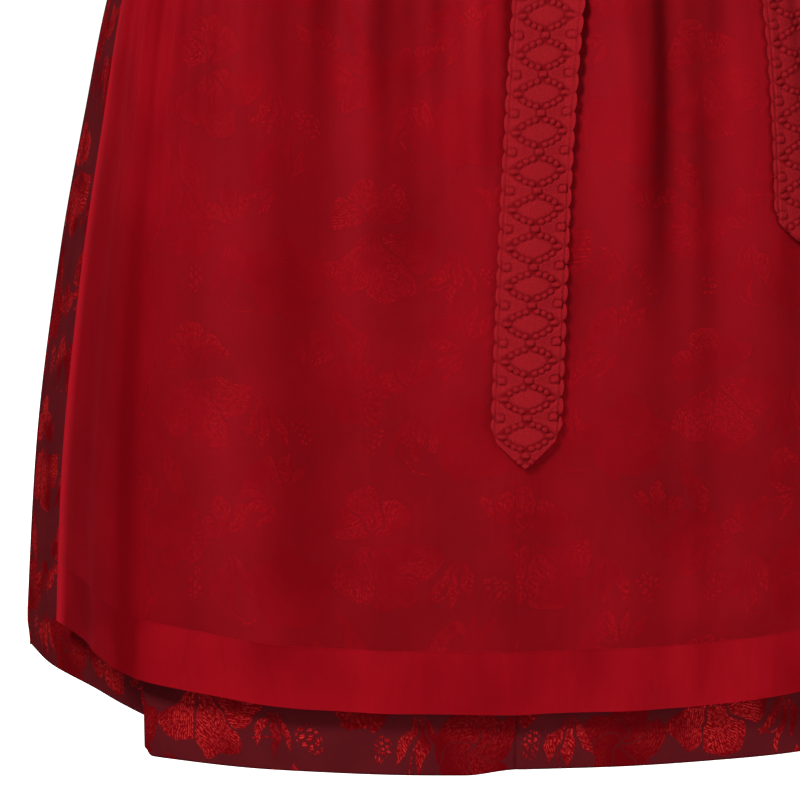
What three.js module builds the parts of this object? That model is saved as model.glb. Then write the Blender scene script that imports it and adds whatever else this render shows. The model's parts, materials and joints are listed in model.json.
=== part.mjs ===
// A dirndl: a sleeveless bodice cut in eight panels, a pleated skirt in four, and a sheer apron gathered
// onto a woven ribbon that goes round the waist and ties in a bow with two pointed tails.
// Every piece is cloth, so every solid is a wall of its own thickness and the garment is open inside.
//
// Millimetres, +Z up, the front faces -Y and +X is the wearer's left. The origin lies midway between the
// two shoulder seams, where the straps hang on the wearer.
import * as THREE from "three";

// ---------------------------------------------------------------- driving sizes
const WAIST_DROP = 400; // shoulder line down to the waist seam
const SKIRT_LENGTH = 700; // waist seam down to the skirt's hem at the front
const APRON_LENGTH = 655; // waist seam down to the apron's hem at the front
const APRON_TOP = 5; // how far the apron's gathered top is tucked up behind its band
const SEAM_GAP = 0.3; // between pieces that are sewn together
const BODICE_SEAM_GAP = 0.5; // the shaped seams turn, which draws their inner edges together
const BODICE_CLOTH = 1.5;
const SKIRT_CLOTH = 1.2;
const APRON_CLOTH = 1.0;
const RIBBON_CLOTH = 1.2;
const RIBBON_WIDTH = 47;
const WAIST_Z = -WAIST_DROP;

// ---------------------------------------------------------------- helpers
const radians = (degrees) => (degrees * Math.PI) / 180;
const lerp = (a, b, share) => a + (b - a) * share;
const clamp01 = (value) => Math.min(1, Math.max(0, value));
const smoothStep = (low, high, value) => {
  const share = clamp01((value - low) / (high - low));
  return share * share * (3 - 2 * share);
};

// Reads one column of a table at any value of another, along a smooth line that never overshoots its rows.
function read(table, by, at, column) {
  const last = table.length - 1;
  if (at <= table[0][by]) return table[0][column];
  if (at >= table[last][by]) return table[last][column];
  const i = table.findIndex((row) => row[by] > at) - 1;
  const slope = (k) =>
    (table[k + 1][column] - table[k][column]) / (table[k + 1][by] - table[k][by]);
  const tangent = (k) => {
    if (k === 0) return slope(0);
    if (k === last) return slope(last - 1);
    const [before, after] = [slope(k - 1), slope(k)];
    return before * after <= 0 ? 0 : (2 * before * after) / (before + after);
  };
  const width = table[i + 1][by] - table[i][by];
  const t = (at - table[i][by]) / width;
  const [t2, t3] = [t * t, t * t * t];
  return (
    (2 * t3 - 3 * t2 + 1) * table[i][column] +
    (t3 - 2 * t2 + t) * width * tangent(i) +
    (3 * t2 - 2 * t3) * table[i + 1][column] +
    (t3 - t2) * width * tangent(i + 1)
  );
}

// The unit normal at each point of a grid, from the faces round it.
function gridNormals(grid) {
  const normals = grid.map((line) => line.map(() => new THREE.Vector3()));
  const share = (corners) => {
    const [a, b, c] = corners.map(([row, column]) => grid[row][column]);
    const face = new THREE.Vector3().subVectors(b, a).cross(new THREE.Vector3().subVectors(c, a));
    for (const [row, column] of corners) normals[row][column].add(face);
  };
  for (let row = 0; row < grid.length - 1; row++)
    for (let column = 0; column < grid[0].length - 1; column++) {
      share([[row, column], [row + 1, column], [row + 1, column + 1]]);
      share([[row, column], [row + 1, column + 1], [row, column + 1]]);
    }
  return normals;
}

// A closed cloth wall. The grid is its middle surface: rows run downwards and columns towards +X on the
// front of the garment, so that the normal points out of the garment. flush names the axes that its first
// and last columns face along, where they meet a neighbour across a plane.
function clothWall(grid, thickness, flush = [null, null]) {
  const [rows, columns] = [grid.length, grid[0].length];
  const normals = gridNormals(grid);
  for (const line of normals) {
    if (flush[0]) line[0][flush[0]] = 0;
    if (flush[1]) line[columns - 1][flush[1]] = 0;
    for (const normal of line) normal.normalize();
  }
  const positions = [];
  for (const side of [0.5, -0.5])
    grid.forEach((line, row) =>
      line.forEach((point, column) => {
        const moved = normals[row][column].clone().multiplyScalar(side * thickness).add(point);
        positions.push(moved.x, moved.y, moved.z);
      }),
    );
  const at = (side, row, column) => (side * rows + row) * columns + column;
  const faces = [];
  const quad = (a, b, c, d) => faces.push(a, b, c, a, c, d);
  for (let row = 0; row < rows - 1; row++)
    for (let column = 0; column < columns - 1; column++) {
      quad(at(0, row, column), at(0, row + 1, column), at(0, row + 1, column + 1), at(0, row, column + 1));
      quad(at(1, row, column), at(1, row, column + 1), at(1, row + 1, column + 1), at(1, row + 1, column));
    }
  for (let column = 0; column < columns - 1; column++) {
    quad(at(0, 0, column), at(0, 0, column + 1), at(1, 0, column + 1), at(1, 0, column));
    const end = rows - 1;
    quad(at(0, end, column + 1), at(0, end, column), at(1, end, column), at(1, end, column + 1));
  }
  for (let row = 0; row < rows - 1; row++) {
    quad(at(0, row + 1, 0), at(0, row, 0), at(1, row, 0), at(1, row + 1, 0));
    const end = columns - 1;
    quad(at(0, row, end), at(0, row + 1, end), at(1, row + 1, end), at(1, row, end));
  }
  const geometry = new THREE.BufferGeometry();
  geometry.setAttribute("position", new THREE.Float32BufferAttribute(positions, 3));
  geometry.setIndex(faces);
  return geometry;
}

const CLOTHS = {
  brocade: new THREE.MeshStandardMaterial({ color: 0x5a1216, roughness: 0.55 }),
  organza: new THREE.MeshStandardMaterial({ color: 0x960f18, roughness: 0.4 }),
  ribbon: new THREE.MeshStandardMaterial({ color: 0x9c1f2c, roughness: 0.6 }),
};

const dirndl = new THREE.Group();
function add(name, geometry, cloth) {
  const mesh = new THREE.Mesh(geometry, CLOTHS[cloth]);
  mesh.name = name;
  dirndl.add(mesh);
}

// ---------------------------------------------------------------- the figure that the bodice is cut for
// Half sizes of the body at heights under the shoulder line. The chest is squarer than an ellipse.
const BODY = [
  { z: -400, side: 136, front: 101, back: 101 },
  { z: -350, side: 139, front: 106, back: 103 },
  { z: -300, side: 147, front: 118, back: 106 },
  { z: -250, side: 156, front: 129, back: 110 },
  { z: -200, side: 158, front: 122, back: 113 },
  { z: -150, side: 155, front: 103, back: 111 },
  { z: -100, side: 152, front: 83, back: 101 },
  { z: -60, side: 150, front: 65, back: 82 },
  { z: -25, side: 148, front: 43, back: 55 },
  { z: -8, side: 147, front: 24, back: 31 },
  { z: -2, side: 146, front: 11, back: 14 },
  { z: 0, side: 146, front: 0, back: 0 },
];
const WAIST = { side: BODY[0].side, depth: BODY[0].front };
const SHOULDER_SLOPE = 0.16; // how fast the strap falls away outwards
const SHOULDER_X = 80; // where that fall begins

const roundness = (z) => lerp(2, 2.35, smoothStep(-400, -280, z));

// A point of the body at an angle from the front, at a height.
function bodyPoint(angle, z, out = 0) {
  const power = 2 / roundness(z);
  const [sine, cosine] = [Math.sin(radians(angle)), Math.cos(radians(angle))];
  const depth = read(BODY, "z", z, cosine > 0 ? "front" : "back");
  const x = read(BODY, "z", z, "side") * Math.sign(sine) * Math.abs(sine) ** power;
  const y = -depth * Math.sign(cosine) * Math.abs(cosine) ** power;
  const fall = SHOULDER_SLOPE * Math.max(0, Math.abs(x) - SHOULDER_X) * smoothStep(-150, 0, z);
  const flat = Math.hypot(x, y) || 1;
  return new THREE.Vector3(x + (out * x) / flat, y + (out * y) / flat, z - fall);
}

// The angle at which the body has a given x at a height.
function angleAtX(x, z) {
  const share = clamp01(x / read(BODY, "z", z, "side"));
  return (Math.asin(share ** (roundness(z) / 2)) * 180) / Math.PI;
}

// ---------------------------------------------------------------- bodice
// The cut lines, from the waist up. Each row is one station that the panels share, so that their seams
// match. The front panel runs from inner to princess, the side panel from princess to side seam.
const FRONT_CUT = [
  { innerX: 0, innerZ: -400, outerX: 58, outerZ: -400 },
  { innerX: 0, innerZ: -350, outerX: 66, outerZ: -347 },
  { innerX: 0, innerZ: -300, outerX: 80, outerZ: -293 },
  { innerX: 0, innerZ: -250, outerX: 96, outerZ: -243 },
  { innerX: 0, innerZ: -212, outerX: 112, outerZ: -200 },
  { innerX: 22, innerZ: -202, outerX: 126, outerZ: -176 },
  { innerX: 43, innerZ: -187, outerX: 131, outerZ: -154 },
  { innerX: 59, innerZ: -165, outerX: 129, outerZ: -128 },
  { innerX: 70, innerZ: -133, outerX: 125, outerZ: -98 },
  { innerX: 77, innerZ: -90, outerX: 122, outerZ: -64 },
  { innerX: 81, innerZ: -45, outerX: 121, outerZ: -33 },
  { innerX: 84, innerZ: -16, outerX: 121, outerZ: -12 },
  { innerX: 85, innerZ: -4, outerX: 121, outerZ: -3 },
  { innerX: 85, innerZ: 0, outerX: 121, outerZ: 0 },
];
const BACK_CUT = [
  { innerX: 0, innerZ: -400, outerX: 34, outerZ: -400 },
  { innerX: 0, innerZ: -350, outerX: 40, outerZ: -350 },
  { innerX: 0, innerZ: -300, outerX: 52, outerZ: -300 },
  { innerX: 0, innerZ: -250, outerX: 74, outerZ: -250 },
  { innerX: 0, innerZ: -200, outerX: 100, outerZ: -203 },
  { innerX: 0, innerZ: -150, outerX: 124, outerZ: -166 },
  { innerX: 0, innerZ: -104, outerX: 129, outerZ: -130 },
  { innerX: 34, innerZ: -99, outerX: 127, outerZ: -102 },
  { innerX: 60, innerZ: -84, outerX: 124, outerZ: -72 },
  { innerX: 74, innerZ: -56, outerX: 122, outerZ: -44 },
  { innerX: 81, innerZ: -26, outerX: 121, outerZ: -20 },
  { innerX: 84, innerZ: -8, outerX: 121, outerZ: -7 },
  { innerX: 85, innerZ: -2, outerX: 121, outerZ: -2 },
  { innerX: 85, innerZ: 0, outerX: 121, outerZ: 0 },
];
const SIDE_STATIONS = 6; // the side panels stop at the armhole, this many stations up
const ARMHOLE_Z = -196; // the armhole's lowest point, at the side seam

// A panel between two lines of stations, each a list of {angle, z}. across is the number of strips.
function panelGrid(inner, outer, across) {
  const grid = inner.map((start, i) => {
    const end = outer[i];
    const width = bodyPoint(start.angle, start.z).distanceTo(bodyPoint(end.angle, end.z));
    const margin = BODICE_SEAM_GAP / 2 / Math.max(width, 1);
    return Array.from({ length: across + 1 }, (_, column) => {
      const share = lerp(margin, 1 - margin, column / across);
      return bodyPoint(lerp(start.angle, end.angle, share), lerp(start.z, end.z, share));
    });
  });
  return grid.reverse();
}

const mirrored = (grid) =>
  grid.map((line) => [...line].reverse().map((p) => new THREE.Vector3(-p.x, p.y, p.z)));
const turnedRound = (grid) => grid.map((line) => [...line].reverse());

// Draws a panel's end back from the shoulder, where the front and the back meet at a slight ridge.
const SHOULDER_GAP = 0.7;
function shoulderGap(grid, direction) {
  for (const point of grid[0]) point.y += (direction * SHOULDER_GAP) / 2;
  return grid;
}

function addBodice() {
  const line = (cut, x, z, behind) =>
    cut.map((row) => {
      const angle = angleAtX(row[x], row[z]);
      return { angle: behind ? 180 - angle : angle, z: row[z] };
    });
  const frontInner = line(FRONT_CUT, "innerX", "innerZ", false);
  const frontPrincess = line(FRONT_CUT, "outerX", "outerZ", false);
  const backInner = line(BACK_CUT, "innerX", "innerZ", true);
  const backPrincess = line(BACK_CUT, "outerX", "outerZ", true);
  const sideSeam = Array.from({ length: SIDE_STATIONS }, (_, i) => ({
    angle: 90,
    z: lerp(WAIST_Z, ARMHOLE_Z, i / (SIDE_STATIONS - 1)),
  }));

  const front = shoulderGap(panelGrid(frontInner, frontPrincess, 7), -1);
  const side = panelGrid(frontPrincess.slice(0, SIDE_STATIONS), sideSeam, 6);
  const sideBack = panelGrid(sideSeam, backPrincess.slice(0, SIDE_STATIONS), 6);
  const back = turnedRound(shoulderGap(panelGrid(backInner, backPrincess, 7), 1));
  add("bodice_front_left", clothWall(front, BODICE_CLOTH, ["x", null]), "brocade");
  add("bodice_front_right", clothWall(mirrored(front), BODICE_CLOTH, [null, "x"]), "brocade");
  add("bodice_side_left", clothWall(side, BODICE_CLOTH, [null, "y"]), "brocade");
  add("bodice_side_right", clothWall(mirrored(side), BODICE_CLOTH, ["y", null]), "brocade");
  add("bodice_side_back_left", clothWall(sideBack, BODICE_CLOTH, ["y", null]), "brocade");
  add("bodice_side_back_right", clothWall(mirrored(sideBack), BODICE_CLOTH, [null, "y"]), "brocade");
  add("bodice_back_left", clothWall(back, BODICE_CLOTH, [null, "x"]), "brocade");
  add("bodice_back_right", clothWall(mirrored(back), BODICE_CLOTH, ["x", null]), "brocade");
}

// The closing tape lies behind the centre front, where the two fronts are hooked edge to edge.
const TAPE = { halfWidth: 9, heights: [-218, -250, -300, -350, -396], behind: 2.2, across: 4 };
function addClosingTape() {
  const grid = TAPE.heights.map((z) => {
    return Array.from({ length: TAPE.across + 1 }, (_, column) => {
      const x = lerp(-TAPE.halfWidth, TAPE.halfWidth, column / TAPE.across);
      const angle = Math.sign(x) * angleAtX(Math.abs(x), z);
      return bodyPoint(angle, z, -TAPE.behind);
    });
  });
  add("hook_tape", clothWall(grid, RIBBON_CLOTH), "brocade");
}

// ---------------------------------------------------------------- the skirt's bell
// Half sizes of the bell at drops below the waist seam.
const BELL = [
  { drop: -10, side: 136, front: 101, back: 101 },
  { drop: 0, side: 136, front: 101, back: 101 },
  { drop: 20, side: 137.5, front: 102.5, back: 102.5 },
  { drop: 45, side: 159, front: 121, back: 126 },
  { drop: 90, side: 203, front: 158, back: 168 },
  { drop: 140, side: 239, front: 193, back: 207 },
  { drop: 200, side: 264, front: 226, back: 240 },
  { drop: 300, side: 285.5, front: 258, back: 270 },
  { drop: 400, side: 304, front: 277, back: 288 },
  { drop: 550, side: 323.5, front: 293, back: 302 },
  { drop: 700, side: 333, front: 300, back: 310 },
];
const OPENING_POWER = 0.54; // how early, going down, the line round the skirt takes its hem's shape
const openedAt = (drop) => Math.max(0, drop / SKIRT_LENGTH) ** OPENING_POWER;

// A point of the bell. The line round it is the waist's ellipse at the top and, going down, takes the
// shape that its knots have at the length where their x and y are measured.
function bellPoint(knot, drop, { out = 0, measuredAt = SKIRT_LENGTH } = {}) {
  const [opened, fully] = [openedAt(drop), openedAt(measuredAt)];
  const waist = radians(knot.waist);
  const size = (name, at) => read(BELL, "drop", at, name);
  const measured = { x: knot.x / size("side", measuredAt), y: -knot.y / size("front", measuredAt) };
  if (knot.y > 0) measured.y = -knot.y / size("back", measuredAt);
  const sideways = lerp(Math.sin(waist), measured.x, opened / fully);
  const forwards = lerp(Math.cos(waist), measured.y, opened / fully);
  const x = size("side", drop) * sideways;
  const y = -size(forwards > 0 ? "front" : "back", drop) * forwards;
  const flat = Math.hypot(x, y);
  const moved = 1 + (out - (knot.inset ?? 0) * (1 - opened)) / flat;
  const lift = (knot.lift ?? 0) * Math.max(0, drop / measuredAt) ** 2;
  return new THREE.Vector3(x * moved, y * moved, WAIST_Z - drop + lift);
}

// ---------------------------------------------------------------- skirt
// The line round half the skirt, from the centre front seam to the side seam. waist is the angle from the
// front at the waist; x and y are at the hem; inset is how far a folded layer lies behind the waist line;
// lift is how far the hem hangs above the front's; strips are the divisions up to the next row.
const FRONT_LINE = [
  { waist: 0, x: 0, y: -300, inset: 0, lift: 0, strips: 5 },
  { waist: 20, x: 76, y: -297, inset: 0, lift: 0.5, strips: 5 },
  { waist: 36, x: 132, y: -290, inset: 0, lift: 1.5, strips: 5 },
  { waist: 50, x: 178, y: -281, inset: 0, lift: 2.5, strips: 5 },
  { waist: 62, x: 222, y: -266, inset: 0, lift: 4, strips: 3 },
  { waist: 70, x: 246, y: -255, inset: 0, lift: 5, strips: 2 }, // the pleat's edge
  { waist: 70.9, x: 247.5, y: -250, inset: 1.5, lift: 5, strips: 1 },
  { waist: 70, x: 243.5, y: -243, inset: 3.0, lift: 5, strips: 2 },
  { waist: 68.3, x: 219, y: -236, inset: 3.1, lift: 6, strips: 2 },
  { waist: 66.2, x: 194, y: -228, inset: 3.2, lift: 7, strips: 2 }, // its inner fold
  { waist: 65.3, x: 187, y: -221, inset: 4.7, lift: 8, strips: 2 },
  { waist: 66.3, x: 194, y: -214, inset: 6.2, lift: 9, strips: 2 },
  { waist: 69.5, x: 219, y: -203, inset: 6.2, lift: 9, strips: 2 },
  { waist: 73, x: 243, y: -185, inset: 5.6, lift: 10, strips: 2 },
  { waist: 77, x: 264, y: -155, inset: 4, lift: 12, strips: 2 },
  { waist: 81, x: 285, y: -116, inset: 2, lift: 14, strips: 2 },
  { waist: 86, x: 316, y: -58, inset: 0.4, lift: 16, strips: 2 },
  { waist: 90, x: 333, y: 0, inset: 0, lift: 17, strips: 0 },
];
const LEFT_FRONT_LIFT = 4; // the left front's hem is pressed up this much more, which steps at the seam
// The deep folds behind the side seam, by their angles. depth is at the hem, as a share of its reach.
const BACK_FOLDS = [
  { waist: 98, hem: 99, depth: 0.12 },
  { waist: 114, hem: 115, depth: 0.15 },
  { waist: 130, hem: 131.5, depth: 0.17 },
  { waist: 147, hem: 148, depth: 0.17 },
  { waist: 164, hem: 165, depth: 0.16 },
];
const BACK_FOLD = { halfAngle: 3.8, inset: 3.4, crest: 1.025, lift: 17 };
const SKIRT_DROPS = [0.5, 20, 45, 80, 125, 185, 270, 390, 540, SKIRT_LENGTH];

// The line round the back, from the side seam to the centre back: a narrow valley, a crest, and so on.
function backLine() {
  const hem = BELL[BELL.length - 1];
  const knot = (waist, angle, reach, inset) => ({
    waist,
    x: hem.side * reach * Math.sin(radians(angle)),
    y: -hem.back * reach * Math.cos(radians(angle)),
    inset,
    lift: BACK_FOLD.lift * (1 - smoothStep(90, 150, angle)),
    strips: 2,
  });
  const line = [knot(90, 90, 1, 0)];
  BACK_FOLDS.forEach((fold, i) => {
    const next = BACK_FOLDS[i + 1] ?? { waist: 360 - fold.waist, hem: 360 - fold.hem };
    const shoulder = (side) =>
      knot(
        fold.waist + (side * BACK_FOLD.halfAngle) / 2,
        fold.hem + side * BACK_FOLD.halfAngle,
        1 - fold.depth * 0.42,
        BACK_FOLD.inset / 2,
      );
    line.push(
      shoulder(-1),
      knot(fold.waist, fold.hem, 1 - fold.depth, BACK_FOLD.inset),
      shoulder(1),
      knot((fold.waist + next.waist) / 2, (fold.hem + next.hem) / 2, BACK_FOLD.crest, 0),
    );
  });
  return line;
}

// Fine gathers where the front is drawn in at the waist. They fade out down the skirt.
const SKIRT_GATHERS = { perQuarter: 7, top: 0.7, full: 3.2, fullAt: 70, goneAt: 420 };
function gatherDepth(gathers, drop) {
  const grown = lerp(gathers.top, gathers.full, smoothStep(20, gathers.fullAt, drop));
  return grown * (1 - smoothStep(gathers.fullAt, gathers.goneAt, drop));
}

// Turns a line of knots into a grid: each drop's plan line is a smooth curve through the knots.
function skirtGrid(knots, gathered, raised = 0) {
  const stops = knots.flatMap((knot, i) =>
    Array.from({ length: i < knots.length - 1 ? knot.strips : 1 }, (_, k) => i + k / (knot.strips || 1)),
  );
  return SKIRT_DROPS.map((drop) => {
    const curve = new THREE.CatmullRomCurve3(
      knots.map((knot) => bellPoint(knot, drop)),
      false,
      "centripetal",
    );
    const line = stops.map((stop) => curve.getPoint(stop / (knots.length - 1)));
    if (gathered)
      line.forEach((point, i) => {
        const share = stops[i] / gathered.lastKnot;
        if (share >= 1) return;
        const wave = Math.cos(share * Math.PI * 2 * SKIRT_GATHERS.perQuarter) - 1;
        const inwards = (gatherDepth(SKIRT_GATHERS, drop) / 2) * wave * (1 - share ** 8);
        const flat = Math.hypot(point.x, point.y);
        point.x *= 1 + inwards / flat;
        point.y *= 1 + inwards / flat;
      });
    // The whole of the raised side comes up by the pleat's edge, and the seams beyond it still match.
    const fadesAt = 8;
    line.forEach((point, i) => {
      point.z += raised * (1 - smoothStep(fadesAt, fadesAt + 5, stops[i])) * (drop / SKIRT_LENGTH) ** 2;
    });
    trimEnds(line);
    return line;
  });
}

// Draws a row's first and last points in by half a seam's gap.
function trimEnds(line) {
  const draw = (end, next) => {
    const way = new THREE.Vector3().subVectors(next, end).normalize();
    end.addScaledVector(way, SEAM_GAP / 2);
  };
  draw(line[0], line[1]);
  draw(line[line.length - 1], line[line.length - 2]);
}

function addSkirt() {
  const gathered = { lastKnot: 5 };
  const front = skirtGrid(FRONT_LINE, gathered, LEFT_FRONT_LIFT);
  const rightFront = mirrored(skirtGrid(FRONT_LINE, gathered));
  const back = skirtGrid(backLine());
  add("skirt_front_left", clothWall(front, SKIRT_CLOTH, ["x", "y"]), "brocade");
  add("skirt_front_right", clothWall(rightFront, SKIRT_CLOTH, ["y", "x"]), "brocade");
  add("skirt_back_left", clothWall(back, SKIRT_CLOTH, ["y", "x"]), "brocade");
  add("skirt_back_right", clothWall(mirrored(back), SKIRT_CLOTH, ["x", "y"]), "brocade");
}

// ---------------------------------------------------------------- apron
// The line along half the apron, by the share of its width from the middle. x and y are at its hem.
const APRON_LINE = [
  { share: 0, waist: 0, x: 0, y: -309, lift: 0 },
  { share: 0.2, waist: 20, x: 75, y: -306, lift: 0.7 },
  { share: 0.35, waist: 36, x: 130, y: -300, lift: 2.5 },
  { share: 0.47, waist: 50, x: 175, y: -291, lift: 6 },
  { share: 0.6, waist: 62, x: 220, y: -277, lift: 11.5 },
  { share: 0.68, waist: 70, x: 250, y: -263, lift: 15 },
  { share: 0.75, waist: 74, x: 263, y: -238, lift: 17 },
  { share: 0.84, waist: 78, x: 279, y: -196, lift: 18 },
  { share: 0.92, waist: 81.5, x: 294, y: -149, lift: 17 },
  { share: 1, waist: 84, x: 309, y: -102, lift: 15 },
];
const APRON_OUT = 2.5; // the gathers' middle, out from the waist line
const APRON_GATHERS = { count: 20, top: 0.7, full: 5, fullAt: 60, goneAt: 330 };
// The long soft ridges that the gathers run into, by the share of the half width (minus to the right).
const APRON_RIDGES = [
  { share: -0.86, width: 0.07, out: 5, atHem: 1.5 },
  { share: -0.66, width: 0.07, out: 6, atHem: 3 },
  { share: -0.5, width: 0.085, out: 8, atHem: 4 },
  { share: -0.295, width: 0.06, out: 6, atHem: 2 },
  { share: -0.1, width: 0.08, out: 8, atHem: 2.5 },
  { share: 0.13, width: 0.075, out: 9, atHem: 1.5 },
  { share: 0.37, width: 0.08, out: 9, atHem: 3 },
  { share: 0.56, width: 0.07, out: 7, atHem: 4 },
  { share: 0.78, width: 0.07, out: 6, atHem: 2.5 },
];
const APRON_DROPS = [-APRON_TOP, ...SKIRT_DROPS.slice(1, -1), APRON_LENGTH];

// The apron's surface at a signed share of its half width, some way out from its smooth shape.
function apronPoint(share, drop, out = 0) {
  const at = Math.abs(share);
  const knot = {};
  for (const column of ["waist", "x", "y", "lift"]) knot[column] = read(APRON_LINE, "share", at, column);
  const laid = out + APRON_OUT * (1 - smoothStep(0, 300, drop));
  const point = bellPoint(knot, drop, { out: laid, measuredAt: APRON_LENGTH });
  point.x *= Math.sign(share) || 1;
  return point;
}

// How far the folds stand out from that surface.
function apronFold(share, drop) {
  const depth = gatherDepth(APRON_GATHERS, drop);
  const gathers = (depth / 2) * (1 - Math.cos(Math.PI * APRON_GATHERS.count * (share + 1)));
  const grown = smoothStep(20, 150, drop);
  const fallen = smoothStep(220, APRON_LENGTH, drop);
  const ridges = APRON_RIDGES.reduce((sum, ridge) => {
    const bump = Math.exp(-(((share - ridge.share) / ridge.width) ** 2));
    return sum + grown * lerp(ridge.out, ridge.atHem, fallen) * bump;
  }, 0);
  return gathers + ridges;
}

function addApron() {
  const across = APRON_GATHERS.count * 3;
  const grid = APRON_DROPS.map((drop) =>
    Array.from({ length: across + 1 }, (_, column) => {
      const share = lerp(-1, 1, column / across);
      return apronPoint(share, drop, apronFold(share, drop));
    }),
  );
  add("apron", clothWall(grid, APRON_CLOTH), "organza");
}

// ---------------------------------------------------------------- ribbon round the waist
const BAND = { top: -373, bottom: -373 - RIBBON_WIDTH, outAtTop: 3.7, outAtBottom: 7.0, rows: 2 };
const BAND_FRONT_ANGLE = 92; // the apron's own band reaches this far round each side

function bandPoint(angle, z, out = 0) {
  const share = (BAND.top - z) / (BAND.top - BAND.bottom);
  const point = bodyPoint(angle, Math.max(z, WAIST_Z), lerp(BAND.outAtTop, BAND.outAtBottom, share) + out);
  point.z = z;
  return point;
}

function addBand(name, from, to, across) {
  const grid = Array.from({ length: BAND.rows + 1 }, (_, row) => {
    const z = lerp(BAND.top, BAND.bottom, row / BAND.rows);
    return Array.from({ length: across + 1 }, (_, column) =>
      bandPoint(lerp(from, to, column / across), z),
    );
  });
  for (const line of grid) trimEnds(line);
  add(name, clothWall(grid, RIBBON_CLOTH), "ribbon");
}

// ---------------------------------------------------------------- bow
const BOW_ANGLE = 28; // the knot sits this far round to the wearer's left
const BOW_Z = -396;
const KNOT = { halfWidth: 16, halfHeight: 22, halfDepth: 8.5, roundness: 0.62 };
const BAND_FACE = 1.2; // from the band's middle to just clear of its face
// Where a loop's ribbon runs, out from the knot and back: along the waist, and out from the band. drawn is
// its height as a share of the ribbon's width, which the knot draws together.
const LOOP_LINE = [
  { along: 17, out: 14, drawn: 0.55 },
  { along: 38, out: 22, drawn: 0.8 },
  { along: 66, out: 27, drawn: 0.98 },
  { along: 88, out: 25, drawn: 1 },
  { along: 99, out: 17, drawn: 1 },
  { along: 93, out: 8.5, drawn: 1 },
  { along: 72, out: 6, drawn: 0.98 },
  { along: 44, out: 5.5, drawn: 0.84 },
  { along: 17, out: 6, drawn: 0.55 },
];
const LOOP_FALL = 0.1; // how fast a loop drops, going out from the knot
const LOOP_STEPS = 2;

const bowCentre = bandPoint(BOW_ANGLE, BOW_Z);
const bowOut = new THREE.Vector3(
  bowCentre.x / WAIST.side ** 2,
  bowCentre.y / WAIST.depth ** 2,
  0,
).normalize();
const bowAlong = new THREE.Vector3(-bowOut.y, bowOut.x, 0);

function bowPoint(along, out, up) {
  return bowCentre
    .clone()
    .addScaledVector(bowAlong, along)
    .addScaledVector(bowOut, out + BAND_FACE)
    .add(new THREE.Vector3(0, 0, up));
}

function addLoop(name, side) {
  const curve = new THREE.CatmullRomCurve3(
    LOOP_LINE.map((row) => new THREE.Vector3(row.along, row.out, row.drawn * RIBBON_WIDTH)),
    false,
    "centripetal",
  );
  const steps = (LOOP_LINE.length - 1) * LOOP_STEPS;
  const columns = Array.from({ length: steps + 1 }, (_, i) => curve.getPoint(i / steps));
  const acrossRibbon = [0.5, 0.25, 0, -0.25, -0.5];
  const grid = acrossRibbon.map((share) => {
    const line = columns.map((c) => {
      const fall = LOOP_FALL * (c.x - LOOP_LINE[0].along);
      return bowPoint(side * c.x, c.y, share * c.z - fall);
    });
    return side > 0 ? line : line.reverse();
  });
  add(name, clothWall(grid, RIBBON_CLOTH), "ribbon");
}

// The knot is a short length of ribbon wrapped round the middle: a pillow, flatter behind.
function addKnot() {
  const geometry = new THREE.SphereGeometry(1, 16, 12);
  const positions = geometry.getAttribute("position");
  const swollen = (value) => Math.sign(value) * Math.abs(value) ** KNOT.roundness;
  for (let i = 0; i < positions.count; i++) {
    const placed = bowPoint(
      swollen(positions.getX(i)) * KNOT.halfWidth,
      KNOT.halfDepth * (1 + swollen(positions.getZ(i))),
      swollen(positions.getY(i)) * KNOT.halfHeight,
    );
    positions.setXYZ(i, placed.x, placed.y, placed.z);
  }
  add("bow_knot", geometry, "ribbon");
}

// The two tails hang over the apron. x is where the ribbon's middle lies at each drop below the waist.
const TAILS = {
  bow_tail_right: [
    { drop: 19, x: 57, drawn: 0.3 },
    { drop: 42, x: 48, drawn: 0.55 },
    { drop: 75, x: 39.5, drawn: 0.8 },
    { drop: 120, x: 32, drawn: 0.96 },
    { drop: 190, x: 24, drawn: 1 },
    { drop: 340, x: 14, drawn: 1 },
    { drop: 489, x: 4.5, drawn: 1 },
  ],
  bow_tail_left: [
    { drop: 19, x: 72.5, drawn: 0.3 },
    { drop: 42, x: 94, drawn: 0.55 },
    { drop: 75, x: 122, drawn: 0.8 },
    { drop: 120, x: 152, drawn: 0.96 },
    { drop: 190, x: 182, drawn: 1 },
    { drop: 270, x: 188, drawn: 1 },
    { drop: 357, x: 191, drawn: 1 },
  ],
};
const TAIL_POINT = 25; // how far the pointed end runs out past its shoulders
const TAIL_CLEAR = 2.2;
const TAIL_STEP = 20;

// The apron's share at which its smooth surface has a given x.
function shareAtX(x, drop) {
  let [low, high] = [-1, 1];
  for (let i = 0; i < 24; i++) {
    const middle = (low + high) / 2;
    if (apronPoint(middle, drop).x < x) low = middle;
    else high = middle;
  }
  return (low + high) / 2;
}

// A tail's point, at a share of the ribbon's width from its middle line.
function tailPoint(line, drop, across) {
  const width = RIBBON_WIDTH * read(line, "drop", drop, "drawn");
  const x = read(line, "drop", drop, "x") + across * width;
  const share = shareAtX(x, drop);
  const highest = Math.max(
    ...[-0.06, -0.03, 0, 0.03, 0.06].map((step) => apronFold(share + step, drop)),
  );
  return apronPoint(share, drop, highest + TAIL_CLEAR + 3.5 * (1 - smoothStep(19, 60, drop)));
}

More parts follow.
